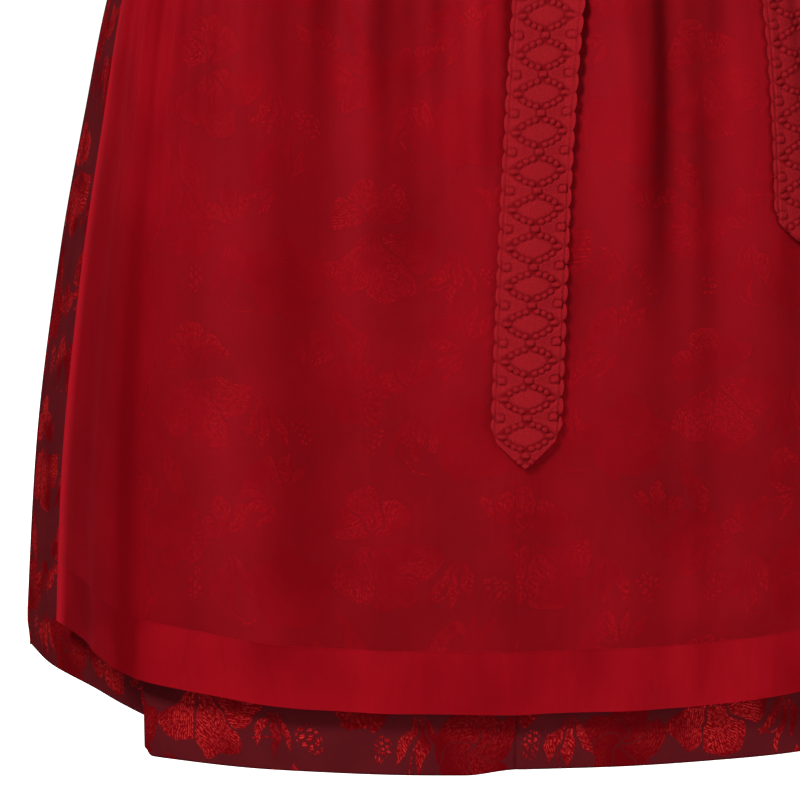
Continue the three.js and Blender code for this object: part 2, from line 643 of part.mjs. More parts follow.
function addTail(name, line) {
  const [start, end] = [line[0].drop, line[line.length - 1].drop];
  const steps = Math.round((end - start) / TAIL_STEP);
  const acrossRibbon = [-0.5, -0.25, 0, 0.25, 0.5];
  const grid = Array.from({ length: steps + 1 }, (_, row) =>
    acrossRibbon.map((across) => {
      // The last rows bend into the point: the middle runs on while the edges stop at the shoulders.
      const shoulder = end - TAIL_POINT * 2 * Math.abs(across);
      const drop = lerp(start, shoulder, row / steps);
      return tailPoint(line, drop, across);
    }),
  );
  add(name, clothWall(grid, RIBBON_CLOTH), "ribbon");
}

// ---------------------------------------------------------------- the whole garment
addBodice();
addClosingTape();
addSkirt();
addApron();
addBand("apron_band", -BAND_FRONT_ANGLE, BAND_FRONT_ANGLE, 30);
addBand("ribbon_round_back", BAND_FRONT_ANGLE, 360 - BAND_FRONT_ANGLE, 28);
addKnot();
addLoop("bow_loop_right", -1);
addLoop("bow_loop_left", 1);
for (const [name, line] of Object.entries(TAILS)) addTail(name, line);

export default dirndl;
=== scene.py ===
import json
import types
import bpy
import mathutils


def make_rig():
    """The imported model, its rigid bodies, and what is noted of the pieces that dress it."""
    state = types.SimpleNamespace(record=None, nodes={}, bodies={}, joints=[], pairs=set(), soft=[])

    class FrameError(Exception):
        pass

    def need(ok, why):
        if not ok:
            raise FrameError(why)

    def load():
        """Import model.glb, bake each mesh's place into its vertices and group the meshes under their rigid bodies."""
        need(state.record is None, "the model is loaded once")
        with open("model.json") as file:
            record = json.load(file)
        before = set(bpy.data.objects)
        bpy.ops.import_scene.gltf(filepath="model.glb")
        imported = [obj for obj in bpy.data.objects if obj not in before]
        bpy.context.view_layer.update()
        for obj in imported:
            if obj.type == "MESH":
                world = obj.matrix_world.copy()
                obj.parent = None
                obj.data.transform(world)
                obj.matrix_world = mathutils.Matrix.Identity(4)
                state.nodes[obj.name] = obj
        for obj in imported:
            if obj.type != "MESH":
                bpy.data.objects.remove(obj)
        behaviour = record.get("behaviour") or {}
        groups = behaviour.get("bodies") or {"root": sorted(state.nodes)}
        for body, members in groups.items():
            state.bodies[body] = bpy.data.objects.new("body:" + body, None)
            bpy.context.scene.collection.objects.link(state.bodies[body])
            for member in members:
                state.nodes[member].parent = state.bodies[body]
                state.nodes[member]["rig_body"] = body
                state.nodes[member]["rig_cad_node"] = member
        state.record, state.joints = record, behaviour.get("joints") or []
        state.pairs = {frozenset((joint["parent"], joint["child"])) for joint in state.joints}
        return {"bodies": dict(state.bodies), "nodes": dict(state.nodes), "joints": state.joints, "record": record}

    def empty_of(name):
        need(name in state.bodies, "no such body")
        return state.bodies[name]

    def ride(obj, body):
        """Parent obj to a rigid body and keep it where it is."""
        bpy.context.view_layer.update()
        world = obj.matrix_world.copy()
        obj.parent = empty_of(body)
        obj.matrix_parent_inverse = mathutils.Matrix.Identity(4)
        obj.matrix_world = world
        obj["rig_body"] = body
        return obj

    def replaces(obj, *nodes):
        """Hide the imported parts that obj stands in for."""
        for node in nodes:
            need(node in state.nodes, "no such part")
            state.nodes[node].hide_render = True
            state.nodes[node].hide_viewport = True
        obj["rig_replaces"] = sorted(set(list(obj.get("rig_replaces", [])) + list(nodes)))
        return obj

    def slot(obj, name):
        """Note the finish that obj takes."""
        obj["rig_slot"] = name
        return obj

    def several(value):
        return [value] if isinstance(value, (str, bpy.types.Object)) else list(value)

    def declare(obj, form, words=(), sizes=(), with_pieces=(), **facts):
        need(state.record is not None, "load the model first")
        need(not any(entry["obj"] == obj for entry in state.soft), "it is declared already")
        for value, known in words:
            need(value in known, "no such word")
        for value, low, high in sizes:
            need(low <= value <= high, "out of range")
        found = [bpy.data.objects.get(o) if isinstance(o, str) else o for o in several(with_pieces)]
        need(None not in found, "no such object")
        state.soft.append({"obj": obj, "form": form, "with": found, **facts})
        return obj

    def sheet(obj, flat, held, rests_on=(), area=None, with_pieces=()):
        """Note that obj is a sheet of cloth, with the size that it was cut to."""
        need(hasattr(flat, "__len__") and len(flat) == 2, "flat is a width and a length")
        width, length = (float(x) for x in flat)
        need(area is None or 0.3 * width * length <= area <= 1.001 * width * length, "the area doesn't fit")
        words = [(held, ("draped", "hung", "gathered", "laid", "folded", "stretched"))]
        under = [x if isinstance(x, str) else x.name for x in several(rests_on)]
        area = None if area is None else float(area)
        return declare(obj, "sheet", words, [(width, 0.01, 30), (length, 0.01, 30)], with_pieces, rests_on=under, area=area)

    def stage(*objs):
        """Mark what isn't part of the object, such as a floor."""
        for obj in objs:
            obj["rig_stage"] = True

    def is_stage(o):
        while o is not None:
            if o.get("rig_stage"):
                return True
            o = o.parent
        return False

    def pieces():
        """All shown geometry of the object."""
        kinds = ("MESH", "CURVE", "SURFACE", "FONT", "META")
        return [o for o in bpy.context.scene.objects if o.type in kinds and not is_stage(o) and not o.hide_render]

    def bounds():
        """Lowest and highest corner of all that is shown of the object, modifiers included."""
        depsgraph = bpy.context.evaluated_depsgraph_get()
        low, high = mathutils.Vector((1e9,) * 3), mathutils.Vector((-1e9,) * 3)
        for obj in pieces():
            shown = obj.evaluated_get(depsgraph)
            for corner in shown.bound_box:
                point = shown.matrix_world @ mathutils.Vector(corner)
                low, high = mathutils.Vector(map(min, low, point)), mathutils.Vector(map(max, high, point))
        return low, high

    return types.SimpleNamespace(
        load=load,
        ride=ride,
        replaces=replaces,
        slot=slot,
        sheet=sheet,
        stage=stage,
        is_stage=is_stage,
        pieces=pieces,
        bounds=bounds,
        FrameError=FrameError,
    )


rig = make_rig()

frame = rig.load()
cad_box = [list(corner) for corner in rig.bounds()]

import json
import math

import bmesh
import bpy
import numpy as np
from mathutils import Vector

# ------------------------------------------------------------------------------------------------ camera
# A long lens, close in on the lower left of the skirt, from a little above and to the left of the front.
camera_aim = Vector((-0.075, -0.250, -0.853))
camera_distance = 3.27
camera_azimuth = math.radians(-3)
camera_height = math.radians(12)
half_frame = 0.267
camera_back = Vector(
    (
        math.sin(camera_azimuth) * math.cos(camera_height),
        -math.cos(camera_azimuth) * math.cos(camera_height),
        math.sin(camera_height),
    )
)
camera_data = bpy.data.cameras.new("camera")
camera_data.sensor_width = 36
camera_data.lens = 18 * camera_distance / half_frame
camera_data.clip_start = 0.05
camera_data.clip_end = 100
camera = bpy.data.objects.new("camera", camera_data)
camera.location = camera_aim + camera_back * camera_distance
camera.rotation_euler = (-camera_back).to_track_quat("-Z", "Y").to_euler()
bpy.context.scene.collection.objects.link(camera)
bpy.context.scene.camera = camera

# --------------------------------------------------------------------------------------- brocade, woven
# The dress cloth is a jacquard: a dark burgundy satin ground with bright red blossoms, leaves, berries
# and tendrils floated on it in a half-drop repeat, their threads laid in fine wavy rows.
repeat_across = 122.0
repeat_down = 205.0


class Value:
    """A value in a node tree. What is worked out from values becomes nodes, so it reads as a formula."""

    def __init__(self, wiring, socket):
        self.wiring = wiring
        self.socket = socket

    def math(self, operation, *others):
        return self.wiring.math(operation, self, *others)

    def __add__(self, other):
        return self.math("ADD", other)

    def __sub__(self, other):
        return self.math("SUBTRACT", other)

    def __rsub__(self, other):
        return self.wiring.math("SUBTRACT", other, self)

    def __mul__(self, other):
        return self.math("MULTIPLY", other)

    def __truediv__(self, other):
        return self.math("DIVIDE", other)

    def __pow__(self, other):
        return self.math("POWER", other)

    def __abs__(self):
        return self.math("ABSOLUTE")

    def __round__(self):
        return self.math("ROUND")

    def clamped(self):
        """The same value, held between 0 and 1."""
        self.socket.node.use_clamp = True
        return self


class Wiring:
    """Lays out a node tree one node at a time, and wires values, numbers or colours into it."""

    def __init__(self, tree):
        self.tree = tree

    def node(self, kind, **settings):
        made = self.tree.nodes.new(kind)
        for name, value in settings.items():
            setattr(made, name, value)
        return made

    def feed(self, socket, value):
        if isinstance(value, Value):
            self.tree.links.new(value.socket, socket)
        else:
            socket.default_value = value

    def outputs(self, node):
        return {socket.name: Value(self, socket) for socket in node.outputs}

    def math(self, operation, *values):
        made = self.node("ShaderNodeMath", operation=operation)
        for socket, value in zip(made.inputs, values):
            self.feed(socket, value)
        return Value(self, made.outputs[0])

    def blend(self, share, low, high):
        made = self.node("ShaderNodeMix", data_type="RGBA")
        self.feed(made.inputs["Factor"], share)
        self.feed(made.inputs[6], low)
        self.feed(made.inputs[7], high)
        return Value(self, made.outputs[2])

    def place(self, across, down):
        made = self.node("ShaderNodeCombineXYZ")
        self.feed(made.inputs["X"], across)
        self.feed(made.inputs["Y"], down)
        return Value(self, made.outputs[0])

    def noise(self, place, scale, detail=2.0, output="Fac"):
        made = self.node("ShaderNodeTexNoise", noise_dimensions="2D")
        self.feed(made.inputs["Vector"], place)
        made.inputs["Scale"].default_value = scale
        made.inputs["Detail"].default_value = detail
        return Value(self, made.outputs[output])

    def attribute(self, name):
        return Value(self, self.node("ShaderNodeAttribute", attribute_name=name).outputs["Fac"])

    def bump(self, strength, distance, height):
        made = self.node("ShaderNodeBump")
        made.inputs["Strength"].default_value = strength
        made.inputs["Distance"].default_value = distance
        self.feed(made.inputs["Height"], height)
        return Value(self, made.outputs[0])

    def flat_cloth(self):
        """The place in the flat cloth in metres, and how far across and down it that is in millimetres."""
        laid = Value(self, self.node("ShaderNodeUVMap", uv_map="cloth").outputs[0])
        parts = self.node("ShaderNodeSeparateXYZ")
        self.feed(parts.inputs[0], laid)
        across, down = (Value(self, parts.outputs[i]) * 1000.0 for i in (0, 1))
        return laid, across, down

    def use(self, group, values):
        """The outputs of a node group that is given these values."""
        made = self.node("ShaderNodeGroup", node_tree=group)
        for name, value in values.items():
            self.feed(made.inputs[name], value)
        return self.outputs(made)

    def give(self, **results):
        """Ends a node group with these results."""
        made = self.node("NodeGroupOutput")
        for name, value in results.items():
            self.feed(made.inputs[name], value)


def start_group(name, inputs, outputs):
    """A node group that takes these numbers, its wiring, and its inputs by name."""
    group = bpy.data.node_groups.new(name, "ShaderNodeTree")
    for socket, value in inputs.items():
        made = group.interface.new_socket(socket, in_out="INPUT", socket_type="NodeSocketFloat")
        made.default_value = value
    for socket in outputs:
        group.interface.new_socket(socket, in_out="OUTPUT", socket_type="NodeSocketFloat")
    wiring = Wiring(group)
    return group, wiring, wiring.outputs(wiring.node("NodeGroupInput"))


def start_material(name, **numbers):
    """A material, its wiring and its shader, with these numbers set on the shader's own sockets."""
    material = bpy.data.materials.new(name)
    material.use_nodes = True
    shader = material.node_tree.nodes["Principled BSDF"]
    for socket, number in numbers.items():
        shader.inputs[socket.replace("_", " ")].default_value = number
    return material, Wiring(material.node_tree), shader.inputs


# Where a point of the cloth lies, seen from the nearest copy of a motif.
placing = {"Across": 0.0, "Down": 0.0, "Centre Across": 0.0, "Centre Down": 0.0, "Turn": 0.0}
motif_place, w, given = start_group("motif place", placing, ["Along", "Aside"])
dx = given["Across"] - given["Centre Across"]
dy = given["Down"] - given["Centre Down"]
columns_off = round(dx / repeat_across)
dx = dx - columns_off * repeat_across
dy = dy - columns_off * (repeat_down / 2)
dy = dy - round(dy / repeat_down) * repeat_down
cosine = given["Turn"].math("COSINE")
sine = given["Turn"].math("SINE")
w.give(Along=dx * cosine + dy * sine, Aside=dy * cosine - dx * sine)


def seen_from_motif(w, given):
    """How far a point lies along the motif and to its side, from the numbers that its group is given."""
    placed = w.use(motif_place, {name: given[name] for name in placing})
    return placed["Along"], placed["Aside"]


def distance(x, y):
    return (x * x + y * y).math("SQRT")


# Petals or leaves that fan out from one stalk. Pairs is how many stand on each side of the middle one. A
# low Tip rounds their ends, and a Tip of 1 makes them pointed.
outer_shorter = 0.09
vein_half_width = 0.75
vein_length = 0.8
float_slant = 0.45
petal_sizes = {"Pairs": 1.0, "Spread": 0.5, "Length": 30.0, "Fullness": 20.0, "Bend": 0.0, "Tip": 1.0}
petal_fan, w, given = start_group("petal fan", placing | petal_sizes, ["Mask", "Thread"])
x, y = seen_from_motif(w, given)
reach = distance(x, y)
angle = y.math("ARCTAN2", x)
petal_number = round(angle / given["Spread"]).math("MINIMUM", given["Pairs"])
petal_number = petal_number.math("MAXIMUM", given["Pairs"] * -1.0)
folded = angle - petal_number * given["Spread"]
length = given["Length"] * (1.0 - abs(petal_number) * outer_shorter)
out = reach * folded.math("COSINE") / length
off = reach * folded.math("SINE")
off = off - out * out * (length * given["Bend"])
profile = out.math("MAXIMUM", 0.0) * (1.0 - out).math("MAXIMUM", 0.0) ** given["Tip"]
spare = profile * given["Fullness"] - abs(off)
vein = ((vein_half_width - abs(off)) * 0.55).clamped() * (vein_length - out).clamped()
from_next = given["Spread"] * 0.5 - abs(folded)
parted = (reach * from_next * 1.2 - 0.35).clamped()
filled = (spare * 1.5).clamped() * parted
w.give(Mask=(filled - vein * 1.8).clamped(), Thread=off + reach * float_slant)

# A full rose seen from above, its petals parted by lines that wind out from the heart.
petal_bulge = 0.22
rose_sizes = {"Radius": 24.0, "Petals": 5.0, "Wind": 0.2}
rose, w, given = start_group("rose", placing | rose_sizes, ["Mask", "Thread"])
x, y = seen_from_motif(w, given)
reach = distance(x, y)
wound = y.math("ARCTAN2", x) + reach * given["Wind"]
lobe = abs((wound * given["Petals"] * 0.5).math("SINE"))
rim = given["Radius"] * (lobe * petal_bulge + (1 - petal_bulge))
in_rose = ((rim - reach) * 0.9).clamped()
parting = (lobe * reach * 0.55).clamped()
w.give(Mask=in_rose * parting, Thread=wound * 7.0 + reach * 0.5)

# A bunch of berries: round dots, set in a slanted lattice inside an oval. Dot is how far apart they are,
# and the radius is a share of it.
berry_radius = 0.44
berry_sizes = {"Length": 12.0, "Half Width": 7.0, "Dot": 4.4}
berries, w, given = start_group("berries", placing | berry_sizes, ["Mask", "Thread"])
x, y = seen_from_motif(w, given)
long = x / given["Length"]
wide = y / given["Half Width"]
in_oval = ((1.0 - (long * long + wide * wide)) * 6.0).clamped()
row_number = round(x / given["Dot"])
shifted = y + row_number * 0.5 * given["Dot"]
off = x - row_number * given["Dot"]
aside = shifted - round(shifted / given["Dot"]) * given["Dot"]
in_dot = (given["Dot"] * berry_radius - distance(off, aside)).clamped()
w.give(Mask=in_oval * (in_dot * 1.6).clamped(), Thread=off + aside)

# A tendril: a thin curl, part of a ring.
tendril_sizes = {"Radius": 14.0, "Line": 0.8, "From": -0.4}
tendril, w, given = start_group("tendril", placing | tendril_sizes, ["Mask", "Thread"])
x, y = seen_from_motif(w, given)
from_ring = abs(distance(x, y) - given["Radius"])
on_line = ((given["Line"] - from_ring) * 2.0).clamped()
on_arc = (x - given["Radius"] * given["From"]).clamped()
w.give(Mask=on_line * on_arc, Thread=from_ring)


def petals(pairs, spread, length, half_width, tip=1.0, bend=0.0):
    """The sizes of a fan whose petals are this wide at their widest."""
    widest = 1 / (1 + tip)
    fullness = half_width / (widest * (1 - widest) ** tip)
    return dict(zip(petal_sizes, (pairs, spread, length, fullness, bend, tip)))


def rose_of(radius, count, wind):
    return {"Radius": radius, "Petals": count, "Wind": wind}


# The whole figured cloth. Each row places one motif in the repeat.
figures = [
    # kind, across, down, turn, tone, sizes
    (petal_fan, 34, 40, 1.25, 0.72, petals(1, 0.86, 48, 15.5, 0.42)),
    (petal_fan, 33, 36, -1.80, 0.90, petals(1, 0.98, 32, 11.5, 0.40)),
    (rose, 98, 176, 0.4, 0.22, rose_of(29, 5, 0.05)),
    (rose, 22, 146, 1.3, 0.36, rose_of(23, 6, -0.06)),
    (petal_fan, 96, 112, -1.45, 1.0, petals(1, 0.52, 29, 4.2, 1.1)),
    (petal_fan, 92, 116, 2.75, 0.9, petals(1, 0.55, 27, 3.6, 1.1)),
    (petal_fan, 86, 44, 1.55, 0.9, petals(1, 0.36, 42, 4.8, 1.1, 0.12)),
    (petal_fan, 112, 30, -1.2, 0.8, petals(1, 0.62, 26, 6.4, 0.6, -0.10)),
    (petal_fan, 8, 88, 0.95, 0.60, petals(0, 3.0, 44, 7.0, 0.6, 0.16)),
    (petal_fan, 58, 152, 1.42, 0.8, petals(1, 0.42, 42, 5.2, 1.1, 0.12)),
    (petal_fan, 60, 146, -1.9, 0.70, petals(1, 0.72, 28, 7.0, 0.6)),
    (petal_fan, 68, 118, -1.1, 0.5, petals(0, 3.0, 34, 7.5, 0.5, 0.2)),
    (berries, 110, 72, 0.9, 1.0, {"Length": 12.5, "Half Width": 6.8}),
    (berries, 34, 178, 2.1, 1.0, {"Length": 12.5, "Half Width": 6.4}),
    (tendril, 76, 62, 0.5, 0.9, {"Radius": 12, "From": -0.2}),
    (tendril, 66, 186, 2.6, 0.8, {"Radius": 13, "From": 0.1}),
]
figured_cloth, w, given = start_group(
    "figured cloth", {"Across": 0.0, "Down": 0.0}, ["Figure", "Tone", "Thread"]
)
# The woven outline wanders a little from the drawn one.
wander_over = 14.0
wander = w.node("ShaderNodeSeparateColor")
w.feed(wander.inputs[0], w.noise(w.place(given["Across"], given["Down"]), 0.045, 1.5, "Color"))
drawn = {}
for way, part in zip(("Across", "Down"), wander.outputs):
    drawn[way] = given[way] + (Value(w, part) - 0.5) * wander_over
figure = 0.0
tone = 0.0
thread = 0.0
for kind, across, down, turn, strength, sizes in figures:
    motif = w.use(kind, drawn | {"Centre Across": across, "Centre Down": down, "Turn": turn} | sizes)
    figure = w.math("MAXIMUM", figure, motif["Mask"])
    tone = w.math("MAXIMUM", tone, motif["Mask"] * strength)
    thread = w.math("ADD", thread, motif["Thread"] * motif["Mask"])
w.give(Figure=figure, Tone=tone, Thread=thread)

ground_colour = (0.072, 0.0055, 0.0078, 1)
ground_light = (0.110, 0.0086, 0.0116, 1)
figure_dim = (0.125, 0.0012, 0.0030, 1)
figure_deep = (0.190, 0.0016, 0.0040, 1)
figure_thread_glint = (0.840, 0.0400, 0.0380, 1)
row_turn = 3.4
twill_turn = 6.0


def brocade_cloth(name, start_across, start_down):
    """The brocade, cut from the bolt at this place in its repeat, so that seams cut the pattern."""
    material, w, shader = start_material(
        name,
        Specular_IOR_Level=0.0,
        Sheen_Weight=0.03,
        Sheen_Roughness=0.5,
        Sheen_Tint=(1.0, 0.05, 0.06, 1),
    )
    across, down = w.flat_cloth()[1:]
    across = across + start_across
    down = down + start_down
    cloth = w.use(figured_cloth, {"Across": across, "Down": down})
    # The floats: wavy rows of thread that follow each petal, broken into short stitches, whose brightest spots are
    # lighter thread with a painted glint.
    place = w.place(across, down)
    grain = w.noise(place, 0.42, 3.0)
    rows = ((cloth["Thread"] + grain * 3.0) * row_turn).math("SINE")
    rows = (rows * 0.5 + 0.5) ** 1.6
    sparkle = rows * ((grain - 0.36) * 4.5).clamped()
    # They shine more in some places than in others.
    mottle = w.noise(place, 0.03)
    tone = cloth["Tone"] * ((mottle - 0.34) * 3.8).clamped()
    bright = (sparkle * tone).clamped()
    floated = w.blend(bright * 0.8, w.blend(tone, figure_dim, figure_deep), figure_thread_glint)
    ground = w.blend(mottle, ground_colour, ground_light)
    w.feed(shader["Base Color"], w.blend(cloth["Figure"] * 0.96, ground, floated))
    w.feed(shader["Roughness"], 0.5 - cloth["Figure"] * 0.1)
    twill = ((across + down * 0.6) * twill_turn).math("SINE") * 0.5 + 0.5
    w.feed(shader["Normal"], w.bump(0.35, 0.00025, grain * 0.8 + twill * 0.12))
    return material


# ---------------------------------------------------------------------------------------- skirt, 4 panels
# Two fronts that meet in a centre seam, and two backs. Each front ends in a deep inverted pleat by the
# side; the backs fall in pressed folds. Gathered into the waist seam, and turned up once at the hem.
waist_z = -400.0
skirt_length = 700.0


def table(*rows):
    return np.array(rows, float)


bell = table(
    # drop, side, front, back: half sizes
    (-10, 136, 101, 101),
    (0, 136, 101, 101),
    (20, 137.5, 102.5, 102.5),
    (45, 159, 121, 126),
    (90, 203, 158, 168),
    (140, 239, 193, 207),
    (200, 264, 226, 240),
    (300, 285.5, 258, 270),
    (400, 304, 277, 288),
    (550, 323.5, 293, 302),
    (700, 333, 300, 310),
)
opening_power = 0.54


def read(rows, column, at):
    """One column of a table at values of its first, along a smooth line that never overshoots."""
    keys = rows[:, 0]
    values = rows[:, column]
    slopes = np.diff(values) / np.diff(keys)
    before = slopes[:-1]
    after = slopes[1:]
    both = before * after
    tangents = np.empty(len(keys))
    tangents[0] = slopes[0]
    tangents[-1] = slopes[-1]
    tangents[1:-1] = np.where(both <= 0, 0, 2 * both / np.where(before + after == 0, 1, before + after))
    at = np.clip(np.asarray(at, float), keys[0], keys[-1])
    i = np.clip(np.searchsorted(keys, at, side="right") - 1, 0, len(keys) - 2)
    width = keys[i + 1] - keys[i]
    t = (at - keys[i]) / width
    t2 = t * t
    t3 = t2 * t
    return (
        (2 * t3 - 3 * t2 + 1) * values[i]
        + (t3 - 2 * t2 + t) * width * tangents[i]
        + (3 * t2 - 2 * t3) * values[i + 1]
        + (t3 - t2) * width * tangents[i + 1]
    )


def smooth_step(low, high, value):
    share = np.clip((np.asarray(value, float) - low) / (high - low), 0, 1)
    return share * share * (3 - 2 * share)


def bell_points(waist, x, y, inset, lift, drop, out=0.0, measured_at=skirt_length):
    """Points of the skirt's bell, whose line round is an ellipse at the waist and its own at the hem."""
    opened = (np.maximum(0, drop) / skirt_length) ** opening_power
    share = opened / (measured_at / skirt_length) ** opening_power
    hem_side, hem_front, hem_back = (read(bell, k, measured_at) for k in (1, 2, 3))
    forwards_at_hem = -y / np.where(y > 0, hem_back, hem_front)
    sideways = np.sin(waist) * (1 - share) + x / hem_side * share
    forwards = np.cos(waist) * (1 - share) + forwards_at_hem * share
    depth = np.where(forwards > 0, read(bell, 2, drop), read(bell, 3, drop))
    px = read(bell, 1, drop) * sideways
    py = -depth * forwards
    moved = 1 + (out - inset * (1 - opened)) / np.hypot(px, py)
    pz = waist_z - drop + lift * (np.maximum(0, drop) / measured_at) ** 2
    return np.stack([px * moved, py * moved, pz + 0 * px], axis=-1)


def through(knots, per_strip):
    """Points on a smooth line through knots of shape (rows, knots, 3), with its strips cut up evenly."""
    before = np.concatenate([2 * knots[:, :1] - knots[:, 1:2], knots[:, :-1]], axis=1)
    after = np.concatenate([knots[:, 1:], 2 * knots[:, -1:] - knots[:, -2:-1]], axis=1)
    made = []
    for i, cuts in enumerate(per_strip):
        p0, p1, p2, p3 = before[:, i], knots[:, i], knots[:, i + 1], after[:, i + 1]
        d0, d1, d2 = (
            np.maximum(np.linalg.norm(b - a, axis=1, keepdims=True), 1e-4) ** 0.5
            for a, b in ((p0, p1), (p1, p2), (p2, p3))
        )
        t1 = ((p1 - p0) / d0 - (p2 - p0) / (d0 + d1) + (p2 - p1) / d1) * d1
        t2 = ((p2 - p1) / d1 - (p3 - p1) / (d1 + d2) + (p3 - p2) / d2) * d1
        last = i == len(per_strip) - 1
        for t in np.linspace(0, 1, cuts + 1)[: None if last else -1]:
            made.append(
                (2 * t**3 - 3 * t**2 + 1) * p1
                + (t**3 - 2 * t**2 + t) * t1
                + (3 * t**2 - 2 * t**3) * p2
                + (t**3 - t**2) * t2
            )
    return np.stack(made, axis=1)


def normals_of(grid):
    """The unit normals of a grid of points, on the side that its rows and columns turn to."""
    normals = np.cross(np.gradient(grid, axis=0), np.gradient(grid, axis=1))
    return normals / np.maximum(np.linalg.norm(normals, axis=2, keepdims=True), 1e-9)


def running(steps):
    """How far along each end of a row of steps lies."""
    return np.concatenate([[0], np.cumsum(steps)])


def cloth_piece(name, middle, thickness, material, fabric=None):
    """A piece of cloth on a grid of points in millimetres, rows down and columns to the left.

    With a thickness it is a closed wall; with none, a single skin. fabric is its place in the flat cloth,
    in millimetres, measured along the widest row and down the columns if it isn't given."""
    rows, columns = middle.shape[:2]
    if fabric is None:
        steps = np.linalg.norm(np.diff(middle, axis=1), axis=2)
        across = running(steps[np.argmax(steps.sum(axis=1))])
        down = running(np.linalg.norm(np.diff(middle, axis=0), axis=2).mean(axis=1))
        fabric = np.stack(np.broadcast_arrays(across[None, :], down[:, None]), axis=-1)
    index = np.arange(rows * columns).reshape(rows, columns)
    quads = np.stack([index[:-1, :-1], index[1:, :-1], index[1:, 1:], index[:-1, 1:]], axis=-1)
    quads = quads.reshape(-1, 4)
    points = middle.reshape(-1, 3)
    places = fabric.reshape(-1, 2)
    if thickness:
        shift = (normals_of(middle) * thickness / 2).reshape(-1, 3)
        points = np.concatenate([points + shift, points - shift])
        places = np.concatenate([places, places])
        edge = np.concatenate([index[:-1, 0], index[-1, :-1], index[:0:-1, -1], index[0, :0:-1]])
        following = np.roll(edge, -1)
        back = rows * columns
        rim = np.stack([edge, edge + back, following + back, following], axis=-1)
        quads = np.concatenate([quads, quads[:, ::-1] + back, rim])
    mesh = bpy.data.meshes.new(name)
    mesh.vertices.add(len(points))
    mesh.vertices.foreach_set("co", (points / 1000).astype(np.float32).ravel())
    mesh.loops.add(quads.size)
    mesh.loops.foreach_set("vertex_index", quads.astype(np.int32).ravel())
    mesh.polygons.add(len(quads))
    mesh.polygons.foreach_set("loop_start", np.arange(0, quads.size, 4, dtype=np.int32))
    mesh.update(calc_edges=True)
    mesh.polygons.foreach_set("use_smooth", np.ones(len(quads), dtype=bool))
    flat = mesh.uv_layers.new(name="cloth")
    flat.data.foreach_set("uv", (places[quads.ravel()] / 1000).astype(np.float32).ravel())
    mesh.materials.append(material)
    mesh.validate()
    piece = bpy.data.objects.new(name, mesh)
    bpy.context.scene.collection.objects.link(piece)
    return piece


def dressed(piece, node, slot):
    """The piece stands for its CAD node, takes its finish from that slot and hangs with the garment."""
    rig.replaces(piece, node)
    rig.slot(piece, slot)
    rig.ride(piece, "root")


def mirrored(grid):
    return grid[:, ::-1] * np.array([-1, 1, 1])


front_line = table(
    # waist angle, x and y at the hem, inset at the waist, lift at the hem, strips to the next
    (0, 0, -300, 0, 0, 24),
    (20, 76, -297, 0, 0.5, 18),
    (36, 132, -290, 0, 1.5, 16),
    (50, 178, -281, 0, 2.5, 16),
    (62, 222, -266, 0, 4, 10),
    (70, 246, -255, 0, 5, 3),
    (70.9, 247.5, -250, 1.5, 5, 3),
    (70, 243.5, -243, 3.0, 5, 6),
    (68.3, 219, -236, 3.1, 6, 6),
    (66.2, 194, -228, 3.2, 7, 4),
    (65.3, 187, -221, 4.7, 8, 4),
    (66.3, 194, -214, 6.2, 9, 6),
    (69.5, 219, -203, 6.2, 9, 8),
    (73, 243, -185, 5.6, 10, 8),
    (77, 264, -155, 4, 12, 9),
    (81, 285, -116, 2, 14, 12),
    (86, 316, -58, 0.4, 16, 12),
    (90, 333, 0, 0, 17, 0),
)
left_front_lift = 4.0
front_gathers = 7
hem_tuck = 3.0
skirt_drops = np.concatenate([np.linspace(0.5, 120, 22), np.linspace(128, 690, 68), [695, 698, 700]])


def gather_depth(top, full, full_at, gone_at, drop):
    grown = top + (full - top) * smooth_step(20, full_at, drop)
    return grown * (1 - smooth_step(full_at, gone_at, drop))


def drawn_in(grid, amount):
    """A grid of points, moved this far in towards the middle of the garment."""
    moved = grid.copy()
    moved[..., :2] *= (1 - amount / np.hypot(grid[..., 0], grid[..., 1]))[..., None]
    return moved


def skirt_panel(line, gathered, raised=0.0):
    """A skirt panel from the lines of its folds, in rows down from the waist seam."""
    waist, x, y, inset, lift, strips = line.T
    knots = np.stack(
        [bell_points(np.radians(waist), x, y, inset, lift, np.full(len(x), d)) for d in skirt_drops]
    )
    per_strip = strips[:-1].astype(int)
    grid = through(knots, per_strip)
    stops = np.concatenate([i + np.arange(n) / n for i, n in enumerate(per_strip)] + [[len(per_strip)]])
    drops = skirt_drops[:, None]
    by_side = smooth_step(8, 13, stops)[None, :] if gathered else np.ones((1, len(stops)))
    by_foot = smooth_step(skirt_length - 24, skirt_length, drops)
    if gathered:
        # The fine gathers end at the pleat's edge, which is the fifth knot of the line.
        share = np.clip(stops / 5, 0, 1)[None, :]
        wave = (1 - np.cos(share * 2 * np.pi * front_gathers)) / 2
        grid = drawn_in(grid, gather_depth(0.7, 3.2, 70, 420, drops) * wave * (1 - share**8))
    grid = drawn_in(grid, hem_tuck * by_foot * by_side)
    grid[..., 2] += raised * (1 - by_side) * (drops / skirt_length) ** 2
    if gathered:
        # The hem is rounded off at the pleat's edge.
        from_edge = np.interp(stops, [0, 5, 6, 9, 13], [130, 0, -1.5, -1.5, 14])[None, :]
        grid[..., 2] += 4.0 * np.maximum(0, 1 - from_edge / 7) ** 2.2 * by_foot
    for end, step in ((0, 1), (-1, -2)):
        way = grid[:, step] - grid[:, end]
        grid[:, end] += way / np.linalg.norm(way, axis=1, keepdims=True) * 0.15
    return grid


def turned_in(grid, column, width, depth):
    """Draws the cloth in a little beside a seam, where the allowance behind it pulls."""
    off = np.linalg.norm(grid - grid[:, column : column + 1], axis=2)
    return drawn_in(grid, depth * np.exp(-((off / width) ** 2)))


